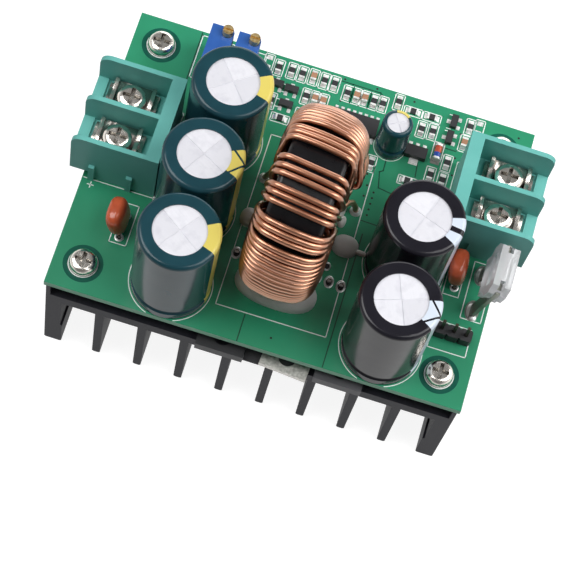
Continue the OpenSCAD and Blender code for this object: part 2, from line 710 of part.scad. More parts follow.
module glue_beds() difference() {
    union() {
        glue_bed();
        mirror([0, 1, 0]) glue_bed();
    }
    translate([-glue_half_w - cut, -board_d / 2, -2 * glue_r])
        cube([2 * glue_half_w + 2 * cut, board_d, 2 * glue_r]);
    translate([-glue_half_w - cut, 0, ring_z]) rotate([0, 90, 0])
        cylinder(r = wire_out_r + wire_r + glue_gap, h = 2 * glue_half_w + 2 * cut);
}
module glue_drop(r, h) intersection() {
    translate([0, 0, h - (r * r + h * h) / (2 * h)]) sphere((r * r + h * h) / (2 * h));
    cylinder(r = r + cut, h = h + cut);
}
module lead_pockets(leads) at_points(lead_points(leads))
    translate([0, 0, -cut]) cylinder(d = lead_hole_d, h = lead_tail + cut);
module inductor_glue() color("#c9c9c6") on_board() difference() {
    at_ring() {
        glue_beds();
        for (g = glue_drops) translate([g[0], g[1], 0]) glue_drop(g[2], g[3]);
    }
    at_left_device() lead_pockets(left_leads);
    at_tab_device() lead_pockets(tab_leads);
    at_right_device() lead_pockets(right_leads);
}

// Multi-turn trimmers with a brass adjusting screw in the back right corner
module trimmer(x) on_board() translate([x, trimmer_y, 0]) difference() {
    union() {
        translate([0, 0, trimmer_foot]) linear_extrude(trimmer_h - trimmer_foot) polygon([
            [0, 0], [trimmer_w, 0], [trimmer_w, trimmer_len - trimmer_notch],
            [trimmer_w - trimmer_notch / 2, trimmer_len], [0, trimmer_len]
        ]);
        for (u = [0, trimmer_w - 1], v = [0, trimmer_len - 1.6])
            translate([u, v, 0]) cube([1, 1, trimmer_foot + cut]);
    }
    translate([trimmer_w - adjuster_inset, trimmer_len - adjuster_inset, trimmer_h - adjuster_hold - 0.1])
        cylinder(d = adjuster_d + 2 * seat, h = adjuster_hold + cut);
}
module adjuster(x) on_board() translate([x + trimmer_w, trimmer_y + trimmer_len, trimmer_h - adjuster_hold])
    translate([-adjuster_inset, -adjuster_inset, 0]) difference() {
        cylinder(d = adjuster_d, h = adjuster_hold + adjuster_h);
        translate([-adjuster_d, -adjuster_slot / 2, adjuster_hold + adjuster_h - 0.6])
            cube([2 * adjuster_d, adjuster_slot, 0.6 + cut]);
    }
module voltage_trimmer() color("#2f6fe0") trimmer(trimmer_x[0]);
module current_trimmer() color("#2f6fe0") trimmer(trimmer_x[1]);
module voltage_trimmer_screw() color("#b98b45") adjuster(trimmer_x[0]);
module current_trimmer_screw() color("#b98b45") adjuster(trimmer_x[1]);
module trimmer_pins() color("#c8c6c2") on_board() at_points(trimmer_pin_points)
    translate([0, 0, -board_t - lead_tail])
        cylinder(d = trimmer_pin_d, h = board_t + lead_tail + trimmer_foot);

// Dipped capacitors: round pillows that lean a little on their two leads
module film_section() intersection() {
    union() {
        translate([(film_d - film_t) / 2, 0]) circle(d = film_t);
        translate([0, -film_t / 2]) square([(film_d - film_t) / 2, film_t]);
    }
    translate([0, -film_t]) square([film_d, 2 * film_t]);
}
module film_cap(p, lean) on_board() translate([p.x, p.y, 0]) rotate([0, lean, 0])
    translate([0, 0, film_base + film_d / 2]) rotate([0, 90, 0]) rotate_extrude() film_section();
module output_film_cap() color("#b8472a") film_cap(output_film, output_film_lean);
module input_film_cap() color("#b8472a") film_cap(input_film, input_film_lean);
module film_cap_leads() color("#c8c6c2") on_board() at_points(film_lead_points)
    translate([0, 0, -board_t - lead_tail])
        cylinder(d = film_lead_d, h = board_t + lead_tail + film_base - film_seat);

// Blade fuse: a clear body over two blades joined by a fusible link
module leaning() on_board() at_fuse() translate([0, 0, -board_t / 2])
    rotate([0, fuse_lean, 0]) translate([0, 0, board_t / 2]) children();
module across_x(t) rotate([90, 0, 90]) translate([0, 0, -t / 2]) linear_extrude(t) children();
module fuse_outline() {
    half = fuse_w / 2;
    neck = half - fuse_neck;
    brow = half - fuse_shoulder / 2;
    step = fuse_foot + 2.4;
    polygon([
        [-neck, fuse_foot], [neck, fuse_foot], [neck, step], [half, step + fuse_neck],
        [half, fuse_top - fuse_shoulder], [brow, fuse_top], [-brow, fuse_top],
        [-half, fuse_top - fuse_shoulder], [-half, step + fuse_neck], [-neck, step]
    ]);
}
module blade_outline(play) {
    for (s = [-1, 1]) translate([s * blade_pitch / 2 - blade_w / 2 - play, -board_t - lead_tail])
        square([blade_w + 2 * play, blade_rise + board_t + lead_tail + play]);
    translate([-blade_pitch / 2, blade_rise - 2.4 - play]) square([blade_pitch, link_h + 2 * play]);
}
module fuse_body() color("#e4e6ea", 0.6) leaning() difference() {
    across_x(fuse_t) fuse_outline();
    across_x(blade_t + 2 * blade_play) blade_outline(blade_play);
    for (s = [-1, 1]) translate([s * fuse_t / 2, 0, 0]) across_x(2 * fuse_window)
        translate([-fuse_w / 2 + 2.2, fuse_foot + 4]) square([fuse_w - 4.4, fuse_top - fuse_foot - 6]);
    for (s = [-1, 1]) translate([-blade_t / 2 - blade_play, s * blade_pitch / 2 - 0.9, fuse_top - 3])
        cube([blade_t + 2 * blade_play, 1.8, 3 + cut]);
}
module fuse_blades() color("#b9b9b5") leaning() across_x(blade_t) blade_outline(0);

// Three-pin header
module header_outline() {
    half = pin_pitch / 2;
    bevel = half - header_bevel;
    polygon([
        [-half, -bevel], [-bevel, -half], [bevel, -half], [half, -bevel],
        [half, bevel], [bevel, half], [-bevel, half], [-half, bevel]
    ]);
}
module fan_header() color("#1d1d20") on_board() difference() {
    union() {
        at_points(header_points) linear_extrude(header_h) header_outline();
        translate([header_points[0].x, header_y - header_bridge / 2, 0])
            cube([(header_pins_n - 1) * pin_pitch, header_bridge, header_h]);
    }
    at_points(header_points) translate([-pin_t / 2 - header_play, -pin_t / 2 - header_play, -cut])
        cube([pin_t + 2 * header_play, pin_t + 2 * header_play, header_h + 2 * cut]);
}
module header_pins() color("#d9c27a") on_board() at_points(header_points)
    translate([-pin_t / 2, -pin_t / 2, -board_t - lead_tail])
        cube([pin_t, pin_t, board_t + lead_tail + header_pin_top]);

// Small surface parts
function all_places(left, right) = concat(
    [for (p = left) [p[0], board_d - p[1], p[2]]],
    [for (p = right) [board_w - p[0], board_d - p[1], p[2]]]
);
resistor_places = all_places(left_resistors, right_resistors);
ceramic_places = all_places(left_ceramics, right_ceramics);
sot_places = all_places(left_transistor_places, right_transistor_places);
module at_places(places) on_board() for (p = places)
    translate([p[0], p[1], 0]) rotate([0, 0, p[2]]) children();
module chip_body(h) translate([-chip_w / 2, -chip_len / 2 + chip_end, chip_lift])
    cube([chip_w, chip_len - 2 * chip_end, h]);
module chip_ends(h) for (y = [-chip_len / 2, chip_len / 2 - chip_end])
    translate([-chip_w / 2, y, 0]) cube([chip_w, chip_end, h + 2 * chip_lift]);
module chip_resistors() color("#26262a") at_places(resistor_places) chip_body(chip_h);
module chip_capacitors() color("#b98a68") at_places(ceramic_places) chip_body(chip_w * 0.8);
module diode_frame() on_board()
    translate([board_w - diode_place.x, board_d - diode_place.y, diode_cap_d / 2])
        rotate([90, 0, 0]) children();
module signal_diode() color("#c9604e") diode_frame()
    translate([0, 0, -diode_len / 2]) cylinder(d = diode_d, h = diode_len);
module chip_end_caps() color("#cfcfd2") {
    at_places(resistor_places) chip_ends(chip_h);
    at_places(ceramic_places) chip_ends(chip_w * 0.8);
    diode_frame() for (z = [-diode_len / 2 - diode_cap_len, diode_len / 2])
        translate([0, 0, z]) cylinder(d = diode_cap_d, h = diode_cap_len);
}
module moulded(size, lift) translate([-size.x / 2, -size.y / 2, lift]) cube(size);
module small_transistors() color("#232326") at_places(sot_places) moulded(sot_size, chip_lift);
module foot_pin(pin) translate([-pin.x / 2, 0, 0]) cube(pin);
module sot_pins() {
    for (s = [-1, 1]) translate([s * sot_pin_step, -sot_size.y / 2 - sot_pin.y, 0]) foot_pin(sot_pin);
    translate([0, sot_size.y / 2, 0]) foot_pin(sot_pin);
}
module reg_frame() on_board() translate([board_w - reg_place[0], board_d - reg_place[1], 0]) children();
module regulator() color("#232326") reg_frame() moulded(reg_size, chip_lift);
module transistor_pins() color("#cfcfd2") {
    at_places(sot_places) sot_pins();
    reg_frame() {
        for (s = [-1:1]) translate([s * reg_pitch, reg_size.y / 2, 0]) foot_pin(reg_pin);
        translate([0, -reg_size.y / 2 - reg_pin.y, 0]) foot_pin([reg_pin.x * 3.2, reg_pin.y, reg_pin.z]);
    }
}
module soic_frame() on_board() translate([soic_place[0], board_d - soic_place[1], 0]) children();
module control_chip() color("#1f1f23") soic_frame() moulded(soic_size, chip_lift);
module control_chip_pins() color("#cfcfd2") soic_frame()
    for (k = [0:soic_pins - 1], y = [soic_size.y / 2, -soic_size.y / 2 - soic_pin.y])
        translate([(k - (soic_pins - 1) / 2) * soic_pitch, y, 0]) foot_pin(soic_pin);

heatsink();
circuit_board();
board_screws();
board_spacers();
left_transistor();
right_transistor();
rectifier_tab();
rectifier_body();
insulating_sheet();
power_leads();
output_terminal();
input_terminal();
output_contacts();
input_contacts();
output_front_clamp();
output_rear_clamp();
input_front_clamp();
input_rear_clamp();
output_front_screw();
output_rear_screw();
input_front_screw();
input_rear_screw();
output_cap_front_can();
output_cap_front_sleeve();
output_cap_mid_can();
output_cap_mid_sleeve();
output_cap_back_can();
output_cap_back_sleeve();
input_cap_front_can();
input_cap_front_sleeve();
input_cap_back_can();
input_cap_back_sleeve();
bias_cap_can();
bias_cap_sleeve();
inductor_core();
inductor_winding();
inductor_glue();
voltage_trimmer();
current_trimmer();
voltage_trimmer_screw();
current_trimmer_screw();
trimmer_pins();
output_film_cap();
input_film_cap();
film_cap_leads();
fuse_body();
fuse_blades();
fan_header();
header_pins();
control_chip();
control_chip_pins();
regulator();
small_transistors();
transistor_pins();
chip_resistors();
chip_capacitors();
signal_diode();
chip_end_caps();
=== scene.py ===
"""Looks of the step-up converter module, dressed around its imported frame."""
import math
import random

import bmesh
import bpy
from mathutils import Matrix, Vector


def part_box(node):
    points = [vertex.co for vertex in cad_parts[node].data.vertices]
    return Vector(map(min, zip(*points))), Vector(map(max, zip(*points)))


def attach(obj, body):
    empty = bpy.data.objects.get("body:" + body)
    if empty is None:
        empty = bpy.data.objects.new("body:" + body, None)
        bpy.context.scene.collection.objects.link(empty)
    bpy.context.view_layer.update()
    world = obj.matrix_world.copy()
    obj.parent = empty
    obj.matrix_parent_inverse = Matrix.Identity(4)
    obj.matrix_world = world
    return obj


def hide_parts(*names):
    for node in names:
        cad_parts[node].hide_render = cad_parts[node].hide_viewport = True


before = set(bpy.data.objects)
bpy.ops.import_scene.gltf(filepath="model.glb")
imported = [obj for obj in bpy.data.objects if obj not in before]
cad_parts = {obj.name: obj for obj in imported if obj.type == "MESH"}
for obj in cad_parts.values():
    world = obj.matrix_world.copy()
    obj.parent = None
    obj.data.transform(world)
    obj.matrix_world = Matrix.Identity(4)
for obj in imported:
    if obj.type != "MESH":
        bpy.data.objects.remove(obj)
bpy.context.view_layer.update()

MM = 0.001
random.seed(4)

# Places on the board are in millimetres from its front left corner, heights from its top face
board_lo, board_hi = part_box("circuit_board")
board_zero = (board_lo[0], board_lo[1], board_hi[2])
board_w = (board_hi[0] - board_lo[0]) / MM
board_d = (board_hi[1] - board_lo[1]) / MM


def spot(x, y, z=0.0):
    """A board place as a point of the frame, in metres."""
    return Vector([zero + step * MM for zero, step in zip(board_zero, (x, y, z))])


def on_board(point):
    """A point of the frame as a board place, in millimetres."""
    return Vector([(value - zero) / MM for value, zero in zip(point, board_zero)])


def middle(name):
    """Middle of a CAD node's box, as a board place."""
    lo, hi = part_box(name)
    return on_board([(a + b) / 2 for a, b in zip(lo, hi)])


def solids(name):
    """Each separate solid in a CAD node: its lowest corner, its highest corner and its top's middle."""
    weld = 0.001 * MM
    top_band = 0.01
    bm = bmesh.new()
    bm.from_mesh(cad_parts[name].data)
    bmesh.ops.remove_doubles(bm, verts=bm.verts, dist=weld)
    found = []
    waiting = set(bm.verts)
    while waiting:
        front = [waiting.pop()]
        island = list(front)
        while front:
            vert = front.pop()
            for edge in vert.link_edges:
                other = edge.other_vert(vert)
                if other in waiting:
                    waiting.remove(other)
                    front.append(other)
                    island.append(other)
        points = [on_board(v.co) for v in island]
        lo = Vector([min(p[k] for p in points) for k in range(3)])
        hi = Vector([max(p[k] for p in points) for k in range(3)])
        crown = [p for p in points if p.z > hi.z - top_band]
        found.append((lo, hi, sum(crown, Vector()) / len(crown)))
    bm.free()
    return sorted(found, key=lambda solid: tuple(solid[0]))


def centre_of(lo, hi):
    """Middle of a solid as it is seen from above."""
    return (lo.x + hi.x) / 2, (lo.y + hi.y) / 2


# Materials

def linear(code):
    """An sRGB hex colour as linear RGBA."""
    channels = [int(code[k:k + 2], 16) / 255 for k in (1, 3, 5)]
    return [c / 12.92 if c <= 0.04045 else ((c + 0.055) / 1.055) ** 2.4 for c in channels] + [1.0]


def add(tree, kind, sockets=None, **settings):
    """Adds a node with its settings; a socket takes a value, an output, or a node for its first output."""
    node = tree.nodes.new("ShaderNode" + kind)
    for name, value in settings.items():
        setattr(node, name, value)
    for key, value in (sockets or {}).items():
        if isinstance(value, bpy.types.Node):
            value = value.outputs[0]
        if isinstance(value, bpy.types.NodeSocket):
            tree.links.new(value, node.inputs[key])
        else:
            node.inputs[key].default_value = value
    return node


def blank(name):
    """A new material with an empty node tree."""
    material = bpy.data.materials.new(name)
    material.use_nodes = True
    material.node_tree.nodes.clear()
    return material, material.node_tree


def anodised_aluminium():
    # Extruded aluminium, etched and dyed black: satin charcoal with faint draw lines along the fins.
    # The real lines are too fine to show, so they are drawn 0.5 mm wide.
    material, tree = blank("anodised_aluminium")
    line_w, line_len = 0.5 * MM, 30 * MM
    place = add(tree, "TexCoord").outputs["Object"]
    drawn = add(tree, "Mapping", {"Vector": place, "Scale": (1 / line_w, 1 / line_len, 1 / line_w)})
    lines = add(tree, "TexNoise", {"Vector": drawn, "Scale": 1.0, "Detail": 3.0})
    colour = add(tree, "MixRGB", {"Fac": lines, "Color1": linear("#1d1d23"), "Color2": linear("#303038")})
    rough = add(tree, "MapRange", {"Value": lines, "To Min": 0.4, "To Max": 0.56})
    relief = add(tree, "Bump", {"Height": lines, "Strength": 0.25, "Distance": 0.03 * MM})
    shader = add(tree, "BsdfPrincipled", {
        "Base Color": colour, "Roughness": rough, "Specular IOR Level": 0.17, "Normal": relief})
    add(tree, "OutputMaterial", {"Surface": shader})
    return material


def solder_resist():
    # Glass laminate under green solder resist: glossy green over the copper, with paler fibrous cut edges
    material, tree = blank("solder_resist")
    cloud, fibre, ply, skin = 9 * MM, 3 * MM, 0.25 * MM, 0.9 * MM
    place = add(tree, "TexCoord").outputs["Object"]
    clouds = add(tree, "TexNoise", {"Vector": place, "Scale": 1 / cloud, "Detail": 3.0})
    green = add(tree, "MixRGB", {"Fac": clouds, "Color1": linear("#24825d"), "Color2": linear("#2f956f")})
    plies = add(tree, "Mapping", {"Vector": place, "Scale": (1 / fibre, 1 / fibre, 1 / ply)})
    strands = add(tree, "TexNoise", {"Vector": plies, "Scale": 1.0, "Detail": 2.0})
    fibres = add(tree, "MixRGB", {"Fac": strands, "Color1": linear("#76b395"), "Color2": linear("#b4dcc6")})
    normal = add(tree, "NewGeometry").outputs["True Normal"]
    facing = add(tree, "SeparateXYZ", {"Vector": normal}).outputs["Z"]
    flat = add(tree, "Math", {0: facing}, operation="ABSOLUTE")
    cut = add(tree, "Math", {0: flat, 1: 0.5}, operation="LESS_THAN")
    colour = add(tree, "MixRGB", {"Fac": cut, "Color1": green, "Color2": fibres})
    rough = add(tree, "MapRange", {"Value": cut, "To Min": 0.3, "To Max": 0.75})
    orange_peel = add(tree, "TexNoise", {"Vector": place, "Scale": 1 / skin, "Detail": 2.0})
    relief = add(tree, "Bump", {"Height": orange_peel, "Strength": 0.12, "Distance": 0.02 * MM})
    shader = add(tree, "BsdfPrincipled", {"Base Color": colour, "Roughness": rough, "Normal": relief})
    add(tree, "OutputMaterial", {"Surface": shader})
    return material


def metal(name, dark, light, smooth, dull, patch_mm=1.2, relief=0.15):
    """A plated, tinned or bare metal whose colour and polish vary in small patches."""
    material, tree = blank(name)
    place = add(tree, "TexCoord").outputs["Object"]
    patches = add(tree, "TexNoise", {"Vector": place, "Scale": 1 / (patch_mm * MM), "Detail": 3.0})
    colour = add(tree, "MixRGB", {"Fac": patches, "Color1": linear(dark), "Color2": linear(light)})
    rough = add(tree, "MapRange", {
        "Value": patches, "From Min": 0.3, "From Max": 0.7, "To Min": smooth, "To Max": dull})
    uneven = add(tree, "Bump", {"Height": patches, "Strength": relief, "Distance": 0.05 * MM})
    shader = add(tree, "BsdfPrincipled", {
        "Base Color": colour, "Metallic": 1.0, "Roughness": rough, "Normal": uneven})
    add(tree, "OutputMaterial", {"Surface": shader})
    return material


def plated_nickel(name, wave_mm, dent_mm, hollow_mm):
    """Bright nickel on pressed steel: a warm mirror, wavy from the press, with painted shade in its hollows.
    """
    material, tree = blank(name)
    place = add(tree, "TexCoord").outputs["Object"]
    waves = add(tree, "TexNoise", {"Vector": place, "Scale": 1 / (wave_mm * MM), "Detail": 0.5})
    # Painted shade: ambient occlusion darkens the colour towards near black where walls are close by
    open_air = add(tree, "AmbientOcclusion", {"Distance": hollow_mm * MM}, samples=4).outputs["AO"]
    hollow_shade = add(tree, "Math", {0: open_air, 1: 1.2}, operation="POWER")
    colour = add(tree, "MixRGB", {"Fac": hollow_shade, "Color1": linear("#2a221b"), "Color2": linear("#f3ede4")})
    rough = add(tree, "MapRange", {"Value": waves, "To Min": 0.12, "To Max": 0.3})
    pressed = add(tree, "Bump", {"Height": waves, "Strength": 0.7, "Distance": dent_mm * MM})
    shader = add(tree, "BsdfPrincipled", {
        "Base Color": colour, "Metallic": 1.0, "Roughness": rough, "Normal": pressed})
    add(tree, "OutputMaterial", {"Surface": shader})
    return material


def moulding(name, dark, light, rough, cloud_mm=2.5, relief=0.12, sockets=None):
    """A moulded, sintered or printed plastic: faint clouds in the colour and a fine uneven skin."""
    material, tree = blank(name)
    # The real skin is too fine to show, so its grit is drawn 0.35 mm wide
    skin = 0.35 * MM
    place = add(tree, "TexCoord").outputs["Object"]
    clouds = add(tree, "TexNoise", {"Vector": place, "Scale": 1 / (cloud_mm * MM), "Detail": 3.0})
    colour = add(tree, "MixRGB", {"Fac": clouds, "Color1": linear(dark), "Color2": linear(light)})
    spread = 0.08
    gloss = add(tree, "MapRange", {"Value": clouds, "To Min": rough - spread, "To Max": rough + spread})
    grit = add(tree, "TexNoise", {"Vector": place, "Scale": 1 / skin, "Detail": 2.0})
    uneven = add(tree, "Bump", {"Height": grit, "Strength": relief, "Distance": 0.02 * MM})
    shader = add(tree, "BsdfPrincipled", {
        "Base Color": colour, "Roughness": gloss, "Normal": uneven, **(sockets or {})})
    add(tree, "OutputMaterial", {"Surface": shader})
    return material


def shrink_film(name, centre, size, colours, band, mark):
    """Printed film shrunk on a can: dark and glossy, with one pale stripe that marks the negative lead."""
    material, tree = blank(name)
    dark, light, stripe_colour = colours
    half = math.radians((band[1] - band[0]) / 2)
    turn = math.radians((band[0] + band[1]) / 2)
    ripple, fold = 5 * MM, 1.4 * MM
    dash_pitch, dash_share, dash_angle = 7 * MM, 0.3, 0.07
    arrow_slope, arrow_line, split_half = 1.1, 0.3 * MM, 0.55 * MM
    outer_r, top_z = size[0] * MM, size[1] * MM - fold
    place = add(tree, "TexCoord").outputs["Object"]
    local = add(tree, "VectorMath", {0: place, 1: spot(centre.x, centre.y)}, operation="SUBTRACT")
    turned = add(tree, "VectorRotate", {"Vector": local, "Angle": -turn}, rotation_type="Z_AXIS")
    x, y, z = add(tree, "SeparateXYZ", {"Vector": turned}).outputs
    around = add(tree, "Math", {0: y, 1: x}, operation="ARCTAN2")
    angle = add(tree, "Math", {0: around}, operation="ABSOLUTE")
    stripe = add(tree, "Math", {0: angle, 1: half}, operation="LESS_THAN")
    # Dashes down the stripe's side
    side = add(tree, "Math", {0: z, 1: top_z}, operation="LESS_THAN")
    rise = add(tree, "Math", {0: z, 1: dash_pitch}, operation="DIVIDE")
    step = add(tree, "Math", {0: rise}, operation="FRACT")
    inked = add(tree, "Math", {0: step, 1: 0.5, 2: dash_share}, operation="COMPARE")
    thin = add(tree, "Math", {0: angle, 1: dash_angle}, operation="LESS_THAN")
    dash = add(tree, "Math", {0: inked, 1: thin}, operation="MULTIPLY")
    printed = add(tree, "Math", {0: dash, 1: side}, operation="MULTIPLY")
    # Some films have a plain mark on the stripe's flat top as well: an arrow outline or a split
    if mark != "none":
        off = add(tree, "Math", {0: y}, operation="ABSOLUTE")
        if mark == "arrow":
            reach = add(tree, "Math", {0: outer_r, 1: x}, operation="SUBTRACT")
            widening = add(tree, "Math", {0: off, 1: arrow_slope}, operation="MULTIPLY")
            near = add(tree, "Math", {0: widening, 1: reach, 2: arrow_line}, operation="COMPARE")
        else:
            near = add(tree, "Math", {0: off, 1: split_half}, operation="LESS_THAN")
        flat = add(tree, "Math", {0: z, 1: top_z}, operation="GREATER_THAN")
        lined = add(tree, "Math", {0: near, 1: flat}, operation="MULTIPLY")
        printed = add(tree, "Math", {0: printed, 1: lined}, operation="MAXIMUM")
    clouds = add(tree, "TexNoise", {"Vector": place, "Scale": 1 / ripple, "Detail": 2.0})
    film = add(tree, "MixRGB", {"Fac": clouds, "Color1": linear(dark), "Color2": linear(light)})
    striped = add(tree, "MixRGB", {"Fac": stripe, "Color1": film, "Color2": linear(stripe_colour)})
    colour = add(tree, "MixRGB", {"Fac": printed, "Color1": striped, "Color2": film})
    rough = add(tree, "MapRange", {"Value": clouds, "To Min": 0.13, "To Max": 0.24})
    pulled = add(tree, "Bump", {"Height": clouds, "Strength": 0.25, "Distance": 0.12 * MM})
    shader = add(tree, "BsdfPrincipled", {
        "Base Color": colour, "Roughness": rough, "Specular IOR Level": 0.32, "Normal": pulled})
    add(tree, "OutputMaterial", {"Surface": shader})
    return material


def rolled_aluminium(name, centre, turn):
    """Bare can top: rolled aluminium, almost white, in four leaves tilted along the scored cross, with
    painted light and shade on the leaves.
    """
    material, tree = blank(name)
    grain_w, grain_len, stain, tilt = 0.35 * MM, 4 * MM, 2.5 * MM, 0.045
    place = add(tree, "TexCoord").outputs["Object"]
    local = add(tree, "VectorMath", {0: place, 1: spot(centre.x, centre.y)}, operation="SUBTRACT")
    back = -math.radians(turn)
    turned = add(tree, "VectorRotate", {"Vector": local, "Angle": back}, rotation_type="Z_AXIS")
    x, y, _ = add(tree, "SeparateXYZ", {"Vector": turned}).outputs
    crossed = add(tree, "Math", {0: x, 1: y}, operation="MULTIPLY")
    lighter_leaves = add(tree, "Math", {0: crossed, 1: 0.0}, operation="GREATER_THAN")
    drawn = add(tree, "Mapping", {"Vector": turned, "Scale": (1 / grain_w, 1 / grain_len, 1 / grain_w)})
    grain = add(tree, "TexNoise", {"Vector": drawn, "Scale": 1.0, "Detail": 3.0})
    # Painted light and shade: two opposite leaves are a lighter grey than the other two
    bright = add(tree, "MixRGB", {"Fac": lighter_leaves, "Color1": linear("#d9d9e0"), "Color2": linear("#e6e6ec")})
    streaked = add(tree, "MixRGB", {"Fac": grain, "Color1": bright, "Color2": linear("#dcdce2")})
    stains = add(tree, "TexNoise", {"Vector": place, "Scale": 1 / stain, "Detail": 3.0})
    spots = add(tree, "MapRange", {
        "Value": stains, "From Min": 0.5, "From Max": 0.75, "To Min": 0.0, "To Max": 0.6})
    colour = add(tree, "MixRGB", {"Fac": spots, "Color1": streaked, "Color2": linear("#c6c6ce")})
    rough = add(tree, "MapRange", {"Value": stains, "To Min": 0.38, "To Max": 0.56})
    off_x = add(tree, "Math", {0: x}, operation="ABSOLUTE")
    off_y = add(tree, "Math", {0: y}, operation="ABSOLUTE")
    fold = add(tree, "Math", {0: off_x, 1: off_y}, operation="ADD")
    tilted = add(tree, "Bump", {"Height": fold, "Strength": 1.0, "Distance": tilt})
    fine = add(tree, "Bump", {"Height": grain, "Strength": 0.12, "Distance": 0.02 * MM, "Normal": tilted})
    shader = add(tree, "BsdfPrincipled", {
        "Base Color": colour, "Metallic": 0.3, "Roughness": rough, "Normal": fine})
    add(tree, "OutputMaterial", {"Surface": shader})
    return material


def enamelled_copper():
    # Drawn copper wire under clear amber enamel: warm, with a bright line along each turn
    material, tree = blank("enamelled_copper")
    drawn = 4 * MM
    place = add(tree, "TexCoord").outputs["Object"]
    tone = add(tree, "TexNoise", {"Vector": place, "Scale": 1 / drawn, "Detail": 2.0})
    colour = add(tree, "MixRGB", {"Fac": tone, "Color1": linear("#ae7055"), "Color2": linear("#cb9574")})
    rough = add(tree, "MapRange", {"Value": tone, "To Min": 0.29, "To Max": 0.35})
    shader = add(tree, "BsdfPrincipled", {
        "Base Color": colour, "Metallic": 1.0, "Roughness": rough,
        "Coat Weight": 1.0, "Coat Roughness": 0.12})
    add(tree, "OutputMaterial", {"Surface": shader})
    return material


def cured_silicone():
    # Silicone squeezed on and left to cure: milky, half see-through, and a little wet to look at
    material, tree = blank("cured_silicone")
    swirl, lump = 4 * MM, 1.5 * MM
    place = add(tree, "TexCoord").outputs["Object"]
    milk = add(tree, "TexNoise", {"Vector": place, "Scale": 1 / swirl, "Detail": 2.0})
    colour = add(tree, "MixRGB", {"Fac": milk, "Color1": linear("#cbc8c3"), "Color2": linear("#ecebe8")})
    lumps = add(tree, "TexNoise", {"Vector": place, "Scale": 1 / lump, "Detail": 2.0})
    uneven = add(tree, "Bump", {"Height": lumps, "Strength": 0.2, "Distance": 0.12 * MM})
    shader = add(tree, "BsdfPrincipled", {
        "Base Color": colour, "Roughness": 0.35, "IOR": 1.41, "Transmission Weight": 0.15, "Normal": uneven})
    add(tree, "OutputMaterial", {"Surface": shader})
    return material


def clear_polycarbonate():
    # Injection-moulded clear plastic: whitish where it is thick, with a slightly hazy skin
    material, tree = blank("clear_polycarbonate")
    flow, haze = 1.2 * MM, 2 * MM
    place = add(tree, "TexCoord").outputs["Object"]
    hazy = add(tree, "TexNoise", {"Vector": place, "Scale": 1 / haze, "Detail": 2.0})
    rough = add(tree, "MapRange", {"Value": hazy, "To Min": 0.06, "To Max": 0.2})
    flows = add(tree, "TexNoise", {"Vector": place, "Scale": 1 / flow, "Detail": 2.0})
    uneven = add(tree, "Bump", {"Height": flows, "Strength": 0.3, "Distance": 0.06 * MM})
    shader = add(tree, "BsdfPrincipled", {
        "Base Color": linear("#f4f5f7"), "Roughness": rough, "IOR": 1.58, "Transmission Weight": 0.62,
        "Normal": uneven})
    add(tree, "OutputMaterial", {"Surface": shader})
    return material


def dipped_resin():
    # Epoxy dip, dried hard: glossy brick orange with a soft orange-peel skin
    material, tree = blank("dipped_resin")
    cloud, peel = 2.2 * MM, 0.9 * MM
    place = add(tree, "TexCoord").outputs["Object"]
    clouds = add(tree, "TexNoise", {"Vector": place, "Scale": 1 / cloud, "Detail": 2.0})
    colour = add(tree, "MixRGB", {"Fac": clouds, "Color1": linear("#b0482a"), "Color2": linear("#dc6a44")})
    peeled = add(tree, "TexNoise", {"Vector": place, "Scale": 1 / peel, "Detail": 2.0})
    uneven = add(tree, "Bump", {"Height": peeled, "Strength": 0.35, "Distance": 0.1 * MM})
    shader = add(tree, "BsdfPrincipled", {"Base Color": colour, "Roughness": 0.16, "Normal": uneven})
    add(tree, "OutputMaterial", {"Surface": shader})
    return material


def banded_glass(front_y, back_y):
    # Small glass diode: a red body with a blue band near its front end, glossy as glass is
    material, tree = blank("banded_glass")
    band_share = 0.42
    band = spot(0, front_y + band_share * (back_y - front_y)).y
    place = add(tree, "TexCoord").outputs["Object"]
    along = add(tree, "SeparateXYZ", {"Vector": place}).outputs["Y"]
    front = add(tree, "Math", {0: along, 1: band}, operation="LESS_THAN")
    colour = add(tree, "MixRGB", {"Fac": front, "Color1": linear("#c4553f"), "Color2": linear("#2c4ea6")})
    shader = add(tree, "BsdfPrincipled", {"Base Color": colour, "Roughness": 0.1})
    add(tree, "OutputMaterial", {"Surface": shader})
    return material


# Turned and rolled screws, nearly smooth
screw_nickel = plated_nickel("nickel_plated_screw", 1.1, 0.15, 0.8)
# Stamped plates, bent and dented, so they catch both dark and light; painted shade darkens them near walls
# and screw heads
plate_nickel = plated_nickel("nickel_plated_plate", 3.6, 1.8, 2.2)
# Tinned copper leads and pads: grey and half dull
tin = metal("tinned_copper", "#7d7b77", "#a5a39f", 0.3, 0.45)
# Solder that set against a lead: bright grey with uneven ripples
solder = metal("solder", "#dcdcda", "#f6f6f4", 0.4, 0.65, 0.7, 0.4)
# Bare tab of a power device: dull tin with a blasted grain, too fine to show, so drawn as 0.5 mm specks
tab_metal = metal("dull_tinned_tab", "#86847f", "#f2f0ea", 0.4, 0.6, 0.5, 0.6)
# Turned brass, darkened by handling
brass = metal("turned_brass", "#c49c58", "#f2dba6", 0.25, 0.42, 0.6)
# Plain rolled zinc strip, grey and soft
zinc = metal("zinc_strip", "#6f7068", "#9c9d94", 0.3, 0.45, 1.5)
# Square header pins, flashed thinly; their dark metal colour is painted shade on silvery pins
pin_in_painted_shade = metal("flashed_pin", "#3d3a36", "#6e6759", 0.25, 0.4)
# Moulded epoxy of the packages: near black and matt, with a fine sparkle from the filler
black_epoxy = moulding("black_epoxy", "#1c1c1f", "#29292c", 0.5)
# The same in grey, where the package is filled with more silica
grey_epoxy = moulding("grey_epoxy", "#3f3f42", "#535256", 0.5)
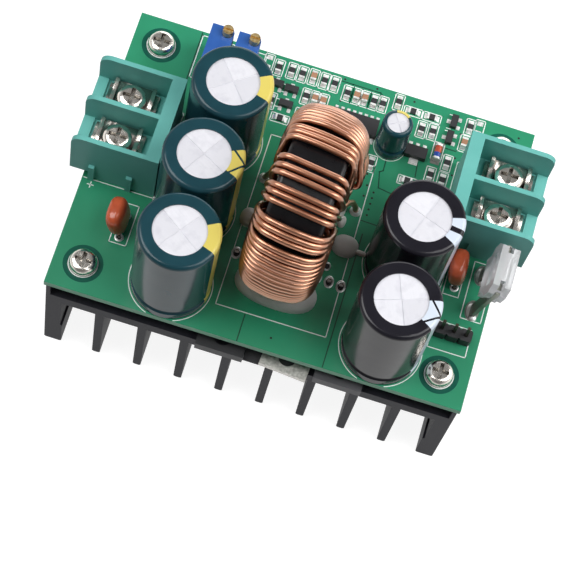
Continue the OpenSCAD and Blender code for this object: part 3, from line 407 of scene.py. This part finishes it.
# Injection-moulded nylon: teal, half glossy, soft at its edges
teal_nylon = moulding("teal_nylon", "#60aaa2", "#70bab2", 0.45, 6, 0.1, {"Specular IOR Level": 0.14})
# Injection-moulded polyester of the trimmers: strong blue, half glossy
blue_polyester = moulding("blue_polyester", "#24509a", "#2f63b0", 0.36, 3, 0.1)
# Pressed iron powder under a black coat: dull sheen and a sandy skin
iron_powder = moulding(
    "coated_iron_powder", "#070608", "#100f12", 0.3, 1.2, 0.3, {"Specular IOR Level": 0.35})
# Silicone sheet filled with ceramic: dark and dull
sheet_rubber = moulding("silicone_sheet", "#2b2b2e", "#3a3a3d", 0.7)
# Sintered ceramic chips: tan and matt
tan_ceramic = moulding("sintered_ceramic", "#94694c", "#b18468", 0.5, 0.8)
# White screen-printed ink, slightly thin in places
white_ink = moulding("screen_print_ink", "#dfe6e2", "#f6f9f7", 0.6, 1.0, 0.2)
# Resist on bare laminate, where no copper brightens it: a darker, bluer green
dark_resist = moulding(
    "resist_over_laminate", "#0f4d40", "#155d4c", 0.32, 2, 0.1, {"Specular IOR Level": 0.2})
# A thin gap between two copper areas under the resist
seam_resist = moulding("resist_over_gap", "#124131", "#184c39", 0.32, 2, 0.1)
# Painted shadow inside a plated hole: almost black, standing in for the shade down the hole
hole_shadow_paint = moulding("hole_shadow", "#0e0f0d", "#1a1915", 0.6, 0.4, 0.1)


# Mesh helpers

ink_h = 0.03
print_w = 0.2
# Radius of a turned profile's points on its axis, so that no face shrinks to nothing
axis_r = 0.0001


def piece(name, bm, material, stands_for=(), smooth=None):
    """Turns a bmesh in metres into a piece that rides on the module."""
    mesh = bpy.data.meshes.new(name)
    bmesh.ops.recalc_face_normals(bm, faces=bm.faces)
    bm.to_mesh(mesh)
    bm.free()
    obj = bpy.data.objects.new(name, mesh)
    bpy.context.scene.collection.objects.link(obj)
    mesh.materials.append(material)
    if smooth is not None:
        mesh.shade_smooth()
        mesh.set_sharp_from_angle(angle=math.radians(smooth))
    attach(obj, "module")
    if stands_for:
        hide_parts(*stands_for)


def tile(bm, x, y, w, d, height, turn=0.0):
    """A thin flat rectangle that lies on the board."""
    matrix = (Matrix.Translation(spot(x, y, height / 2)) @ Matrix.Rotation(math.radians(turn), 4, "Z")
              @ Matrix.Diagonal((w * MM, d * MM, height * MM, 1)))
    bmesh.ops.create_cube(bm, size=1.0, matrix=matrix)


def line(bm, points, width=print_w, height=ink_h):
    """A thin printed line through board places, with square ends."""
    for a, b in zip(points, points[1:]):
        along = Vector(b) - Vector(a)
        centre = (Vector(a) + Vector(b)) / 2
        heading = math.degrees(math.atan2(along.y, along.x))
        tile(bm, centre.x, centre.y, along.length + width, width, height, heading)


def box_line(bm, x0, y0, x1, y1, width=print_w):
    """A printed rectangle."""
    line(bm, [(x0, y0), (x1, y0), (x1, y1), (x0, y1), (x0, y0)], width)


def lathe(bm, centre, profile, steps=32, arc=(0.0, 360.0), stretch=1.0):
    """Turns a closed profile of (radius, height) about an upright axis; stretch makes it oval."""
    full = abs(arc[1] - arc[0]) >= 360
    count = steps if full else steps + 1
    rings = []
    for k in range(count):
        a = math.radians(arc[0] + (arc[1] - arc[0]) * k / steps)
        u, v = math.cos(a), math.sin(a) * stretch
        rings.append([bm.verts.new(spot(centre[0] + r * u, centre[1] + r * v, z)) for r, z in profile])
    for k in range(steps):
        here, after = rings[k], rings[(k + 1) % count]
        for j in range(len(profile)):
            n = (j + 1) % len(profile)
            bm.faces.new((here[j], after[j], after[n], here[n]))
    if not full:
        bm.faces.new(rings[0])
        bm.faces.new(list(reversed(rings[-1])))


def washer(bm, centre, inner, outer, height=ink_h, steps=40, arc=(0.0, 360.0), stretch=1.0):
    """A thin flat ring, or part of one, that lies on the board."""
    lathe(bm, centre, [(inner, 0), (outer, 0), (outer, height), (inner, height)], steps, arc, stretch)


def dress(node_name, material, edge_mm=0.0, segments=2):
    """Gives a CAD node its material and small rounded edges."""
    sharpest = 30
    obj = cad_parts[node_name]
    obj.data.materials.clear()
    obj.data.materials.append(material)
    if edge_mm:
        bevel = obj.modifiers.new("edges", "BEVEL")
        bevel.width = edge_mm * MM
        bevel.segments = segments
        bevel.limit_method = "ANGLE"
        bevel.angle_limit = math.radians(sharpest)
        bevel.harden_normals = True


# Heat sink, board and power devices

dress("heatsink", anodised_aluminium(), 0.25)
dress("circuit_board", solder_resist())
dress("board_screws", screw_nickel, 0.12)
dress("board_spacers", brass)
dress("left_transistor", black_epoxy, 0.2)
dress("right_transistor", grey_epoxy, 0.2)
dress("rectifier_body", black_epoxy, 0.2)
dress("rectifier_tab", tab_metal, 0.1)
dress("insulating_sheet", sheet_rubber)
dress("power_leads", tin, 0.08)

# Terminals

for side in ("output", "input"):
    dress(side + "_terminal", teal_nylon, 0.22, 3)
    dress(side + "_contacts", plate_nickel, 0.12)
    for pole in ("front", "rear"):
        dress(f"{side}_{pole}_clamp", plate_nickel, 0.15)
        dress(f"{side}_{pole}_screw", screw_nickel, 0.15)

# Capacitors: green film with a yellow stripe on the output side, black with a pale one on the input side

green_film = ("#15363f", "#1d4650", "#d9c866")
black_film = ("#15141a", "#201f27", "#cfd9e6")
for cap, film_colours, band, mark, score in (
    ("output_cap_front", green_film, (-19, 30), "none", 55),
    ("output_cap_mid", green_film, (-22, 25), "arrow", 60),
    ("output_cap_back", green_film, (-15, 29), "none", 38),
    ("input_cap_front", black_film, (-30, 16), "arrow", 20),
    ("input_cap_back", black_film, (-30, 16), "split", 70),
    ("bias_cap", green_film, (45, 110), "none", 30),
):
    centre = middle(cap + "_sleeve")
    lo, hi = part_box(cap + "_sleeve")
    size = ((hi[0] - lo[0]) / 2 / MM, (hi[2] - board_hi[2]) / MM)
    dress(cap + "_sleeve", shrink_film(cap + "_film", centre, size, film_colours, band, mark))
    dress(cap + "_can", rolled_aluminium(cap + "_aluminium", centre, score))

# Small parts that keep their CAD shape

for trimmer in ("voltage_trimmer", "current_trimmer"):
    dress(trimmer, blue_polyester, 0.2)
    dress(trimmer + "_screw", brass, 0.08)
dress("trimmer_pins", tin)
dress("film_cap_leads", tin)
dress("fuse_body", clear_polycarbonate(), 0.25)
dress("fuse_blades", zinc, 0.1)
dress("fan_header", black_epoxy, 0.15)
dress("header_pins", pin_in_painted_shade, 0.08)
dress("control_chip", black_epoxy, 0.15)
dress("control_chip_pins", solder, 0.05)
dress("regulator", black_epoxy, 0.15)
dress("small_transistors", black_epoxy, 0.12)
dress("transistor_pins", solder, 0.05)
dress("chip_resistors", black_epoxy, 0.05)
dress("chip_capacitors", tan_ceramic, 0.05)
dress("chip_end_caps", solder, 0.05)
dress("inductor_core", iron_powder)
diode_lo, diode_hi, _ = solids("signal_diode")[0]
dress("signal_diode", banded_glass(diode_lo.y, diode_hi.y))

# Dipped capacitors: boxy pillows with rounded corners, as the dip leaves them

film_d = 6.8
film_t = 3.7
film_base = 1.2
side_power, plan_power = 0.6, 0.7
resin = dipped_resin()


def dipped_pillow(name, foot, lean, rings=20, steps=36):
    """A closed pillow that leans on its two leads, squarer than an ellipsoid."""
    def bulge(value, power):
        return math.copysign(abs(value) ** power, value)
    matrix = (Matrix.Translation(spot(*foot)) @ Matrix.Rotation(math.radians(lean), 4, "Y")
              @ Matrix.Scale(MM, 4))
    half = film_d / 2
    bm = bmesh.new()
    rows = []
    for i in range(1, rings):
        tilt = -math.pi / 2 + math.pi * i / rings
        round_in = bulge(math.cos(tilt), side_power)
        z = film_base + half + half * bulge(math.sin(tilt), side_power)
        row = []
        for k in range(steps):
            a = 2 * math.pi * k / steps
            x = film_t / 2 * round_in * bulge(math.cos(a), plan_power)
            y = half * round_in * bulge(math.sin(a), plan_power)
            row.append(bm.verts.new(matrix @ Vector((x, y, z))))
        rows.append(row)
    low = bm.verts.new(matrix @ Vector((0, 0, film_base)))
    high = bm.verts.new(matrix @ Vector((0, 0, film_base + film_d)))
    for k in range(steps):
        n = (k + 1) % steps
        bm.faces.new((low, rows[0][n], rows[0][k]))
        bm.faces.new((high, rows[-1][k], rows[-1][n]))
        for here, after in zip(rows, rows[1:]):
            bm.faces.new((here[k], here[n], after[n], after[k]))
    piece(name + "_pillow", bm, resin, stands_for=[name], smooth=70)


dipped_pillow("output_film_cap", (11.1, 16.3, 0), -15)
dipped_pillow("input_film_cap", (board_w - 7.8, 27.7, 0), -7)

# Winding: one wire round the ring in the bunches of the CAD solid, with springy round corners

core_od = 34.2
core_id = 19.5
core_w = 11.5
wire_d = 1.25
ring_turn = -3
wire_r = wire_d / 2
wire_seat = 0.05
wire_out_r = core_od / 2 + wire_seat + wire_r
wire_in_r = core_id / 2 - wire_seat - wire_r
wire_side = core_w / 2 + wire_seat + wire_r
inner_corner = 1.0
leg_bulge = 0.2
turn_slant = 3.8
turn_bow = 0.3
turn_sway = 0.25
left_pile_step = 1.0
right_pile_step = 1.2
turn_step = math.degrees((wire_d + 0.07) / wire_out_r)
loose_step = turn_step + 0.5
hidden_step = 12
full_bunch = 14
bunch_span = (full_bunch - 1) * turn_step
rear_bunch = (-86, -26)
front_bunch = (38, 116)
wire_tail = (3.4, 11.5)
tail_below = 2.5
tail_rise = 1.4
tail_bend = (1.5, 2.6)
fifths = (0.2, 0.4, 0.6, 0.8)
ring_centre = middle("inductor_core")


def bunch(start, count, step):
    """Angles of neighbouring turns, from the ring's top towards the front."""
    return [start + k * step for k in range(count)]


turn_angles = (
    bunch(-134, 4, hidden_step)
    + bunch(-28 - bunch_span, full_bunch, turn_step)
    + bunch(-13 - 2 * loose_step, 3, loose_step)
    + [2.5]
    + bunch(8.5, 2, loose_step)
    + bunch(21.5, 3, loose_step)
    + bunch(42.3, 3, turn_step)
    + bunch(57.5, full_bunch, turn_step)
    + bunch(57.5 + bunch_span + hidden_step, 8, hidden_step))


def slack(angle):
    """How far a turn stands off the core's left side, right side and rim, and its two bends."""
    if rear_bunch[0] < angle < rear_bunch[1]:
        return 0.75, 1.4, 0.9, 4.2, 5.5
    if front_bunch[0] < angle < front_bunch[1]:
        return 0.82, 0.82, 0.82, 4.4, 4.4
    return 0.35, 0.35, 0.0, 2.3, 2.3


def in_ring(across, radius, angle):
    """A point of the ring's own frame, with the angle from its top towards the front."""
    a = math.radians(angle)
    return Vector((across, -radius * math.sin(a), radius * math.cos(a)))


def bend(across, radius, size, start, stop, steps=6):
    """A round corner of the wire, as places across the ring and out from its middle."""
    turns = [math.radians(start + (stop - start) * k / steps) for k in range(steps + 1)]
    return [Vector((across + size * math.cos(a), radius + size * math.sin(a))) for a in turns]


def slanted(places, start, stop):
    """Places of a turn put round the ring, the angle running evenly from start to stop."""
    run = [0.0]
    for a, b in zip(places, places[1:]):
        run.append(run[-1] + (b - a).length)
    return [in_ring(p.x, p.y, start + (stop - start) * s / run[-1]) for p, s in zip(places, run)]


def wire_end(side):
    """The wire's end, from under the board up to the ring."""
    x = side * (wire_side + wire_tail[0])
    floor = -ring_centre.z
    return [Vector((x, wire_tail[1], floor - tail_below)), Vector((x, wire_tail[1], floor + tail_rise)),
            Vector((x - side * tail_bend[0], wire_tail[1], floor + tail_rise + tail_bend[1]))]


def over_rim(angle, t0, t1):
    """One turn from the ring's left side, over its rim, to its right side."""
    off_left, off_right, off_rim, left_bend, right_bend = slack(angle)
    left = left_bend - wire_side - off_left
    right = wire_side + off_right - right_bend
    crown = wire_out_r + off_rim
    # The bow is as high as the turn's place on the ring leaves room for under the highest turn
    bow = min(turn_bow, (wire_out_r + wire_r) * (1 - math.cos(math.radians(angle))))
    places = bend(left, crown - left_bend, left_bend, 180, 90)
    for f in fifths:
        places.append(Vector((left + f * (right - left), crown + 4 * bow * f * (1 - f))))
    return slanted(places + bend(right, crown - right_bend, right_bend, 90, 0), t0, t1)


def leg(rim_across, rim_radius, hole_across, hole_radius, angle):
    """A wire's run down the ring's side, from its rim to its hole, bulging a little."""
    points = []
    for f in fifths:
        across = rim_across + (hole_across - rim_across) * f
        bulge = math.copysign(leg_bulge * math.sin(math.pi * f), across)
        points.append(in_ring(across + bulge, rim_radius + (hole_radius - rim_radius) * f, angle))
    return points


def winding_route():
    """Points along the wire, from one end under the board to the other."""
    route = wire_end(-1)
    for k, angle in enumerate(turn_angles):
        sway = random.uniform(-turn_sway, turn_sway)
        t0 = angle - turn_slant / 2 + sway
        t1 = angle + turn_slant / 2 + sway
        route += over_rim(angle, t0, t1)
        if k == len(turn_angles) - 1:
            break
        t2 = turn_angles[k + 1] - turn_slant / 2
        # Inside the ring the turns share less room, so they lie over each other: more on the right, behind
        behind = rear_bunch[0] < angle < rear_bunch[1]
        left_pile = (k % 2) * left_pile_step
        right_pile = (k % 3) * right_pile_step if behind else left_pile
        inside = wire_in_r - left_pile + inner_corner
        right = wire_side + right_pile
        left = wire_side + left_pile
        _, off_right, off_rim, _, right_bend = slack(angle)
        route += leg(wire_side + off_right, wire_out_r + off_rim - right_bend, right, inside, t1)
        route += slanted(bend(right - inner_corner, inside, inner_corner, 0, -90, 3)
                         + bend(inner_corner - left, inside, inner_corner, -90, -180, 3), t1, t2)
        off_left, _, off_rim, left_bend, _ = slack(turn_angles[k + 1])
        route += reversed(leg(-wire_side - off_left, wire_out_r + off_rim - left_bend, -left, inside, t2))
    return route + list(reversed(wire_end(1)))


def rounded(points):
    """Cuts the corners of a route so that it runs smoothly."""
    cut = [points[0]]
    for a, b in zip(points, points[1:]):
        cut += [a.lerp(b, 0.25), a.lerp(b, 0.75)]
    return cut + [points[-1]]


def tube(bm, points, radius, sides=12):
    """Sweeps a round section along a smooth route in metres."""
    last = len(points) - 1
    ahead = [(points[min(k + 1, last)] - points[max(k - 1, 0)]).normalized() for k in range(last + 1)]
    across = ahead[0].orthogonal().normalized()
    rings = []
    for p, t in zip(points, ahead):
        across = (across - t * across.dot(t)).normalized()
        along = t.cross(across)
        rings.append([bm.verts.new(p + radius * (math.cos(a) * across + math.sin(a) * along))
                      for a in (2 * math.pi * s / sides for s in range(sides))])
    for here, after in zip(rings, rings[1:]):
        for s in range(sides):
            n = (s + 1) % sides
            bm.faces.new((here[s], here[n], after[n], after[s]))
    bm.faces.new(list(reversed(rings[0])))
    bm.faces.new(rings[-1])


ring_matrix = (Matrix.Translation(spot(*ring_centre)) @ Matrix.Rotation(math.radians(ring_turn), 4, "Z")
               @ Matrix.Scale(MM, 4))
bm = bmesh.new()
tube(bm, [ring_matrix @ p for p in rounded(winding_route())], wire_r * MM)
piece("winding", bm, enamelled_copper(), stands_for=["inductor_winding"], smooth=80)

# Silicone under the ring, as soft mounds that stop just short of the wire

wire_gap = 0.05
wire_side_gap = 0.9
outline_power, edge_power, dome_power = 2.4, 2.6, 0.6
ring_underside_r = wire_out_r + wire_r + wire_gap
glue_mounds = [
    # across, along, half width, half length, height
    (0.2, -10.6, 8.5, 4.5, 3.6), (0, 11, 8.0, 5, 4), (-9.8, 2.0, 1.9, 2.2, 1.2), (10.3, 3.3, 2.7, 2.5, 1.1),
    (13.6, 3, 1.5, 0.6, 0.5), (7.9, 8.2, 0.9, 1.4, 0.9),
]


def mound(bm, across, along, half_w, half_l, height, steps=36):
    """A closed blob on the board, cut back under the ring."""
    def place(u, v, h):
        p = Vector((across + u * half_w, along + v * half_l, h - ring_centre.z))
        return ring_matrix @ p

    def reach(u, v):
        return (abs(u) ** outline_power + abs(v) ** outline_power) ** (1 / outline_power)

    def lift(u, v):
        h = height * (1 - min(1.0, reach(u, v)) ** edge_power) ** dome_power
        y = along + v * half_l
        x = across + u * half_w
        if abs(y) < ring_underside_r and abs(x) < wire_side + wire_r + wire_side_gap:
            h = min(h, ring_centre.z - math.sqrt(ring_underside_r ** 2 - y * y))
        return max(h, 0.0)

    grid = []
    for i in range(1, steps // 2 + 1):
        r = math.sin(math.pi / 2 * i / (steps // 2))
        row = []
        for k in range(steps):
            a = 2 * math.pi * k / steps
            scale = r / reach(math.cos(a), math.sin(a))
            u, v = scale * math.cos(a), scale * math.sin(a)
            row.append(bm.verts.new(place(u, v, lift(u, v))))
        grid.append(row)
    top = bm.verts.new(place(0, 0, lift(0, 0)))
    for k in range(steps):
        n = (k + 1) % steps
        bm.faces.new((top, grid[0][k], grid[0][n]))
        for here, after in zip(grid, grid[1:]):
            bm.faces.new((here[k], after[k], after[n], here[n]))
    bm.faces.new(list(reversed(grid[-1])))


bm = bmesh.new()
for shape in glue_mounds:
    mound(bm, *shape)
piece("silicone_mounds", bm, cured_silicone(), stands_for=["inductor_glue"], smooth=60)

# Solder, pads, printed outlines and marks on the board

pads = bmesh.new()
fillets = bmesh.new()
print_lines = bmesh.new()
holes = bmesh.new()
thin_print = 0.19
pad_h = 0.06
dome_h = 0.22
chip_len = 2.0
chip_pad = (1.25, 1.0)
chip_pad_reach = 1.12
chip_frame = (1.0, 1.95)
wedge_len, wedge_half, wedge_top = 0.45, 0.55, 0.42
lead_room_x, lead_room_y = 0.3, 0.45
tick_gap, tick_out, tick_in = 0.2, 0.5, 0.3
diode_pad = (1.9, 1.3)


def solder_wedge(x, y, side, upright):
    """A solder wedge against one end of a chip."""
    near, far = chip_len / 2, chip_len / 2 + wedge_len
    foot = [(-wedge_half, near), (wedge_half, near), (wedge_half, far), (-wedge_half, far)]
    corners = [(u, v, pad_h) for u, v in foot] + [(u, v, wedge_top) for u, v in foot[:2]]
    verts = []
    for u, v, z in corners:
        v *= side
        verts.append(fillets.verts.new(spot(x + (u if upright else v), y + (v if upright else u), z)))
    for face in ((0, 1, 2, 3), (0, 4, 5, 1), (4, 3, 2, 5), (0, 3, 4), (1, 5, 2)):
        fillets.faces.new([verts[k] for k in face])


def chip_land(x, y, upright, populated=True):
    """Two pads, their solder and a printed frame for one chip part."""
    for s in (-1, 1):
        dx, dy = (0, s * chip_pad_reach) if upright else (s * chip_pad_reach, 0)
        w, d = chip_pad if upright else reversed(chip_pad)
        tile(fillets, x + dx, y + dy, w, d, pad_h)
        if populated:
            solder_wedge(x, y, s, upright)
    fw, fd = chip_frame if upright else reversed(chip_frame)
    box_line(print_lines, x - fw, y - fd, x + fw, y + fd, thin_print)


for lo, hi, _ in solids("chip_resistors") + solids("chip_capacitors"):
    chip_land(*centre_of(lo, hi), hi.x - lo.x > hi.y - lo.y)
for x, y in ((28.4, 62.0), (74.4, 61.8)):
    chip_land(x, y, True, populated=False)

for lo, hi, _ in solids("control_chip_pins") + solids("transistor_pins"):
    tile(fillets, *centre_of(lo, hi), hi.x - lo.x + lead_room_x, hi.y - lo.y + lead_room_y, pad_h)
for lo, hi, _ in solids("small_transistors"):
    for edge in (lo.y - tick_gap, hi.y + tick_gap):
        line(print_lines, [(lo.x - tick_out, edge), (lo.x + tick_in, edge)], thin_print)
diode_x, _ = centre_of(diode_lo, diode_hi)
tile(pads, diode_x, diode_hi.y + 0.6, *diode_pad, pad_h)
tile(pads, diode_x, diode_lo.y - 0.5, *diode_pad, pad_h)
box_line(print_lines, diode_x - 1.1, diode_lo.y - 0.2, diode_x + 1.1, diode_hi.y + 1.4, thin_print)


def soldered_lead(x, y, hole, outer, stretch=1.0):
    """A domed tinned ring round a lead that comes up through the board, with a dark disc of painted shadow
    in its hollow.
    """
    rim = (hole + outer) / 2
    dome = [(hole, 0), (outer, 0), (outer, pad_h), (rim, dome_h), (hole, pad_h)]
    lathe(fillets, (x, y), dome, 28, stretch=stretch)
    # The hollow round the lead: a dark disc of painted shadow
    washer(holes, (x, y), axis_r, hole, pad_h / 2, 20, stretch=stretch)


for _, _, crown in solids("power_leads"):
    soldered_lead(crown.x, crown.y, 0.62, 1.02, 1.35)
soldered_lead(52.4, 21.3, 0.5, 0.85, 1.2)
for lo, hi, _ in solids("film_cap_leads"):
    soldered_lead(*centre_of(lo, hi), 0.45, 0.95)
wire_solder = [(0.64, 0), (1.25, 0), (1.2, 0.1), (0.85, 0.3), (0.7, 0.6), (0.64, 0.6)]
for s in (-1, 1):
    end = on_board(ring_matrix @ Vector((s * (wire_side + wire_tail[0]), wire_tail[1], 0)))
    lathe(fillets, (end.x, end.y), wire_solder, 24)

# Fuse blades: oblong tinned rims, with solder sunk in each slot and a drop at its front end
fuse_x = board_w - 3.1
fuse_y = 25.5
blade_off = 4
slot_solder = [(axis_r, -0.8), (1.1, -0.8), (1.1, -0.5), (axis_r, -0.7)]
solder_drop = [(axis_r, pad_h), (0.75, pad_h), (0.5, 0.4), (axis_r, 0.55)]
for blade_y in (fuse_y - blade_off, fuse_y + blade_off):
    washer(pads, (fuse_x, blade_y), 1.15, 1.45, pad_h, 36, stretch=1.6)
    lathe(fillets, (fuse_x - 0.15, blade_y), slot_solder, 30, stretch=1.75)
    lathe(fillets, (fuse_x + 0.5, blade_y - 1.5), solder_drop, 18)

# Printed frames round the larger parts; a ring that meets the board's front edge is open there
cap_ring = 8.42
ring_half = 0.09
edge_room = 0.15
for name in ("output_cap_front", "output_cap_mid", "output_cap_back", "input_cap_front", "input_cap_back"):
    c = middle(name + "_sleeve")
    reach = math.degrees(math.asin(min(1.0, (c.y - edge_room) / cap_ring)))
    arc = (-reach, 180 + reach)
    washer(print_lines, (c.x, c.y), cap_ring - ring_half, cap_ring + ring_half, ink_h, 72, arc)
small = middle("bias_cap_sleeve")
washer(print_lines, (small.x, small.y), 3.3, 3.42)
line(print_lines, [(33.6, 46.0), (55.9, 46.1), (56.3, 6.5), (33.5, 6.4), (33.6, 46.0)])
box_line(print_lines, 9.4, 12.4, 12.9, 21.5)
box_line(print_lines, 76.2, 23.3, 79.5, 32.3)
box_line(print_lines, 80.9, 19.3, 85.2, 32.2)
box_line(print_lines, 76.1, 11.2, 84.0, 17.3)
line(print_lines, [(85.6, 52.8), (72.0, 52.8), (72.0, 32.6), (75.5, 32.6)])
line(print_lines, [(0.4, 24.2), (15.2, 24.2), (15.2, 44.6), (0.4, 44.6)])
pot_lo, pot_hi = middle("voltage_trimmer"), middle("current_trimmer")
box_line(print_lines, pot_lo.x - 4.3, pot_lo.y - 3.4, pot_hi.x + 4.0, board_d - 0.9)
# A plain plus sign at the output terminal and one at the input terminal
plus_arm, plus_w = 0.6, 0.22
for x, y in ((2.1, 23.0), (84.0, 33.6)):
    line(print_lines, [(x - plus_arm, y), (x + plus_arm, y)], plus_w)
    line(print_lines, [(x, y - plus_arm), (x, y + plus_arm)], plus_w)

# Corner screws: a ring without copper and a printed ring inside it
bare = bmesh.new()
bare_h = 0.02
for lo, hi, _ in solids("board_screws"):
    washer(bare, centre_of(lo, hi), 1.8, 4.05, bare_h, 48)
    washer(print_lines, centre_of(lo, hi), 2.85, 3.05, ink_h, 48)

# Seams between the copper areas, and the small holes that join them through the board, each hole a dark disc
# of painted shadow
seams = bmesh.new()
seam_w, seam_h = 0.25, 0.012
via_r, via_h = 0.24, 0.02
for route in (
    [(57.7, 48.4), (57.75, 45.7), (57.1, 45.2), (57.8, 41.6), (60.6, 41.2), (61.6, 39.8)],
    [(64.1, 49.6), (64.4, 46.5)], [(56.4, 33.4), (59.5, 33.3)], [(30.6, 52.2), (36.2, 49.4), (41.5, 49.2)],
    [(39.7, 6.0), (39.7, 0.2)], [(57.35, 0.3), (57.4, 30.5)],
    [(44.2, 62.9), (46.6, 62.9), (52.6, 62.9), (54.9, 61.3)], [(66.4, 55.0), (71.0, 55.0)],
    [(27.6, 50.6), (29.6, 50.6), (29.6, 60.0)], [(70.6, 45.4), (66.0, 38.0)], [(13.4, 45.2), (13.4, 63.9)],
):
    line(seams, route, seam_w, seam_h)
for x, y in ([(57.15, 34.9 + 1.34 * k) for k in range(5)] + [(55.4, 38.9), (55.45, 41.4), (54.8, 43.9)]
             + [(51.7, 63.6), (59.9, 63.3), (44.7, 63.5), (71.2, 53.4), (71.6, 49.4), (82.9, 62.4)]
             + [(36.0, 44.6), (45.1, 58.3), (33.0, 63.0), (58.6, 58.8), (71.0, 59.2), (40.0, 48.4)]
             + [(46.0, 2.9)]):
    washer(holes, (x, y), axis_r, via_r, via_h, 14)

piece("tinned_pads", pads, tin)
piece("solder_fillets", fillets, solder, smooth=50)
piece("printed_outlines", print_lines, white_ink)
piece("bare_screw_rings", bare, dark_resist)
piece("copper_seams", seams, seam_resist)
piece("painted_hole_shadows", holes, hole_shadow_paint)

# Camera at the photograph's viewing angle, with its spot as a board place

camera_elevation = 66.46
camera_roll = 17.34
photo_focal_px = 2113.4
photo_px = 576
sensor_mm = 36
camera_spot = (46.27, -154.11, 386.48)
camera = bpy.data.objects.new("camera", bpy.data.cameras.new("camera"))
bpy.context.scene.collection.objects.link(camera)
camera.data.sensor_width = sensor_mm
camera.data.lens = sensor_mm * photo_focal_px / photo_px
camera.data.clip_start = 0.01
camera.rotation_euler = (Matrix.Rotation(math.radians(90 - camera_elevation), 4, "X")
                         @ Matrix.Rotation(math.radians(camera_roll), 4, "Z")).to_euler()
camera.location = spot(*camera_spot)
bpy.context.scene.camera = camera


# Stage: pale floor, pale surroundings that darken overhead and in front, and four soft lamps

def stage_rays(tree):
    """Rays from the camera, and all rays that show the stage: those, mirrored ones and clear ones."""
    ray = add(tree, "LightPath").outputs
    seen = add(tree, "Math", {0: ray["Is Camera Ray"], 1: ray["Is Glossy Ray"]}, operation="MAXIMUM")
    seen = add(tree, "Math", {0: seen, 1: ray["Is Transmission Ray"]}, operation="MAXIMUM")
    return ray["Is Camera Ray"], seen


def studio_floor():
    """A floor that keeps the shadow and shows white; gloss and clear plastic see it dimmer in front."""
    bm = bmesh.new()
    bmesh.ops.create_grid(bm, x_segments=1, y_segments=1, size=3.0)
    mesh = bpy.data.meshes.new("floor")
    bm.to_mesh(mesh)
    bm.free()
    floor = bpy.data.objects.new("floor", mesh)
    bpy.context.scene.collection.objects.link(floor)
    floor.location.z = -0.1 * MM
    material, tree = blank("pale_floor")
    paper = add(tree, "BsdfPrincipled", {"Base Color": linear("#8a8a8a"), "Roughness": 0.9})
    direct, seen = stage_rays(tree)
    back = add(tree, "SeparateXYZ", {"Vector": add(tree, "TexCoord").outputs["Object"]}).outputs["Y"]
    mirrored = add(tree, "MapRange", {
        "Value": back, "From Min": -0.45, "From Max": -0.12, "To Min": 0.15, "To Max": 0.7})
    strength = add(tree, "MapRange", {"Value": direct, "To Min": mirrored, "To Max": 0.9})
    glow = add(tree, "Emission", {"Color": (1, 1, 1, 1), "Strength": strength})
    both = add(tree, "AddShader", {0: glow, 1: paper})
    add(tree, "OutputMaterial", {"Surface": add(tree, "MixShader", {0: seen, 1: paper, 2: both})})
    mesh.materials.append(material)


def studio_room():
    """Surroundings: white at the horizon, dim overhead and in front, with less of each for plain light."""
    world = bpy.data.worlds.new("studio")
    bpy.context.scene.world = world
    world.use_nodes = True
    tree = world.node_tree
    tree.nodes.clear()
    _, back, up = add(tree, "SeparateXYZ", {"Vector": add(tree, "TexCoord").outputs["Generated"]}).outputs
    overhead = add(tree, "MapRange", {
        "Value": up, "From Min": 0.05, "From Max": 0.6, "To Min": 1.0, "To Max": 0.22})
    front = add(tree, "MapRange", {
        "Value": back, "From Min": -0.95, "From Max": -0.45, "To Min": 0.25, "To Max": 1.0})
    shade = add(tree, "Math", {0: overhead, 1: front}, operation="MULTIPLY")
    _, seen = stage_rays(tree)
    level = add(tree, "MapRange", {"Value": seen, "To Min": 0.08, "To Max": 1.0})
    strength = add(tree, "Math", {0: shade, 1: level}, operation="MULTIPLY")
    room = add(tree, "Background", {"Color": (1, 1, 1, 1), "Strength": strength})
    add(tree, "OutputWorld", {"Surface": room})


def studio_lamps():
    """Soft lamps on both sides, low on the right and behind, away from where flat tops mirror."""
    target = Vector((0, 0, 0.035))
    for name, place, size, power in (
        ("left_softbox", (-0.46, -0.07, 0.82), 0.6, 5.9),
        ("right_softbox", (0.48, -0.05, 0.78), 0.6, 4.2),
        ("low_softbox", (0.42, 0.12, 0.36), 0.35, 1.3),
        ("back_softbox", (0.0, 0.75, 0.26), 0.5, 1.6),
    ):
        lamp = bpy.data.lights.new(name, "AREA")
        lamp.shape = "SQUARE"
        lamp.size = size
        lamp.energy = power
        obj = bpy.data.objects.new(name, lamp)
        bpy.context.scene.collection.objects.link(obj)
        obj.location = place
        obj.rotation_euler = (target - Vector(place)).to_track_quat("-Z", "Y").to_euler()


studio_floor()
studio_room()
studio_lamps()
bpy.context.scene.view_settings.view_transform = "Standard"
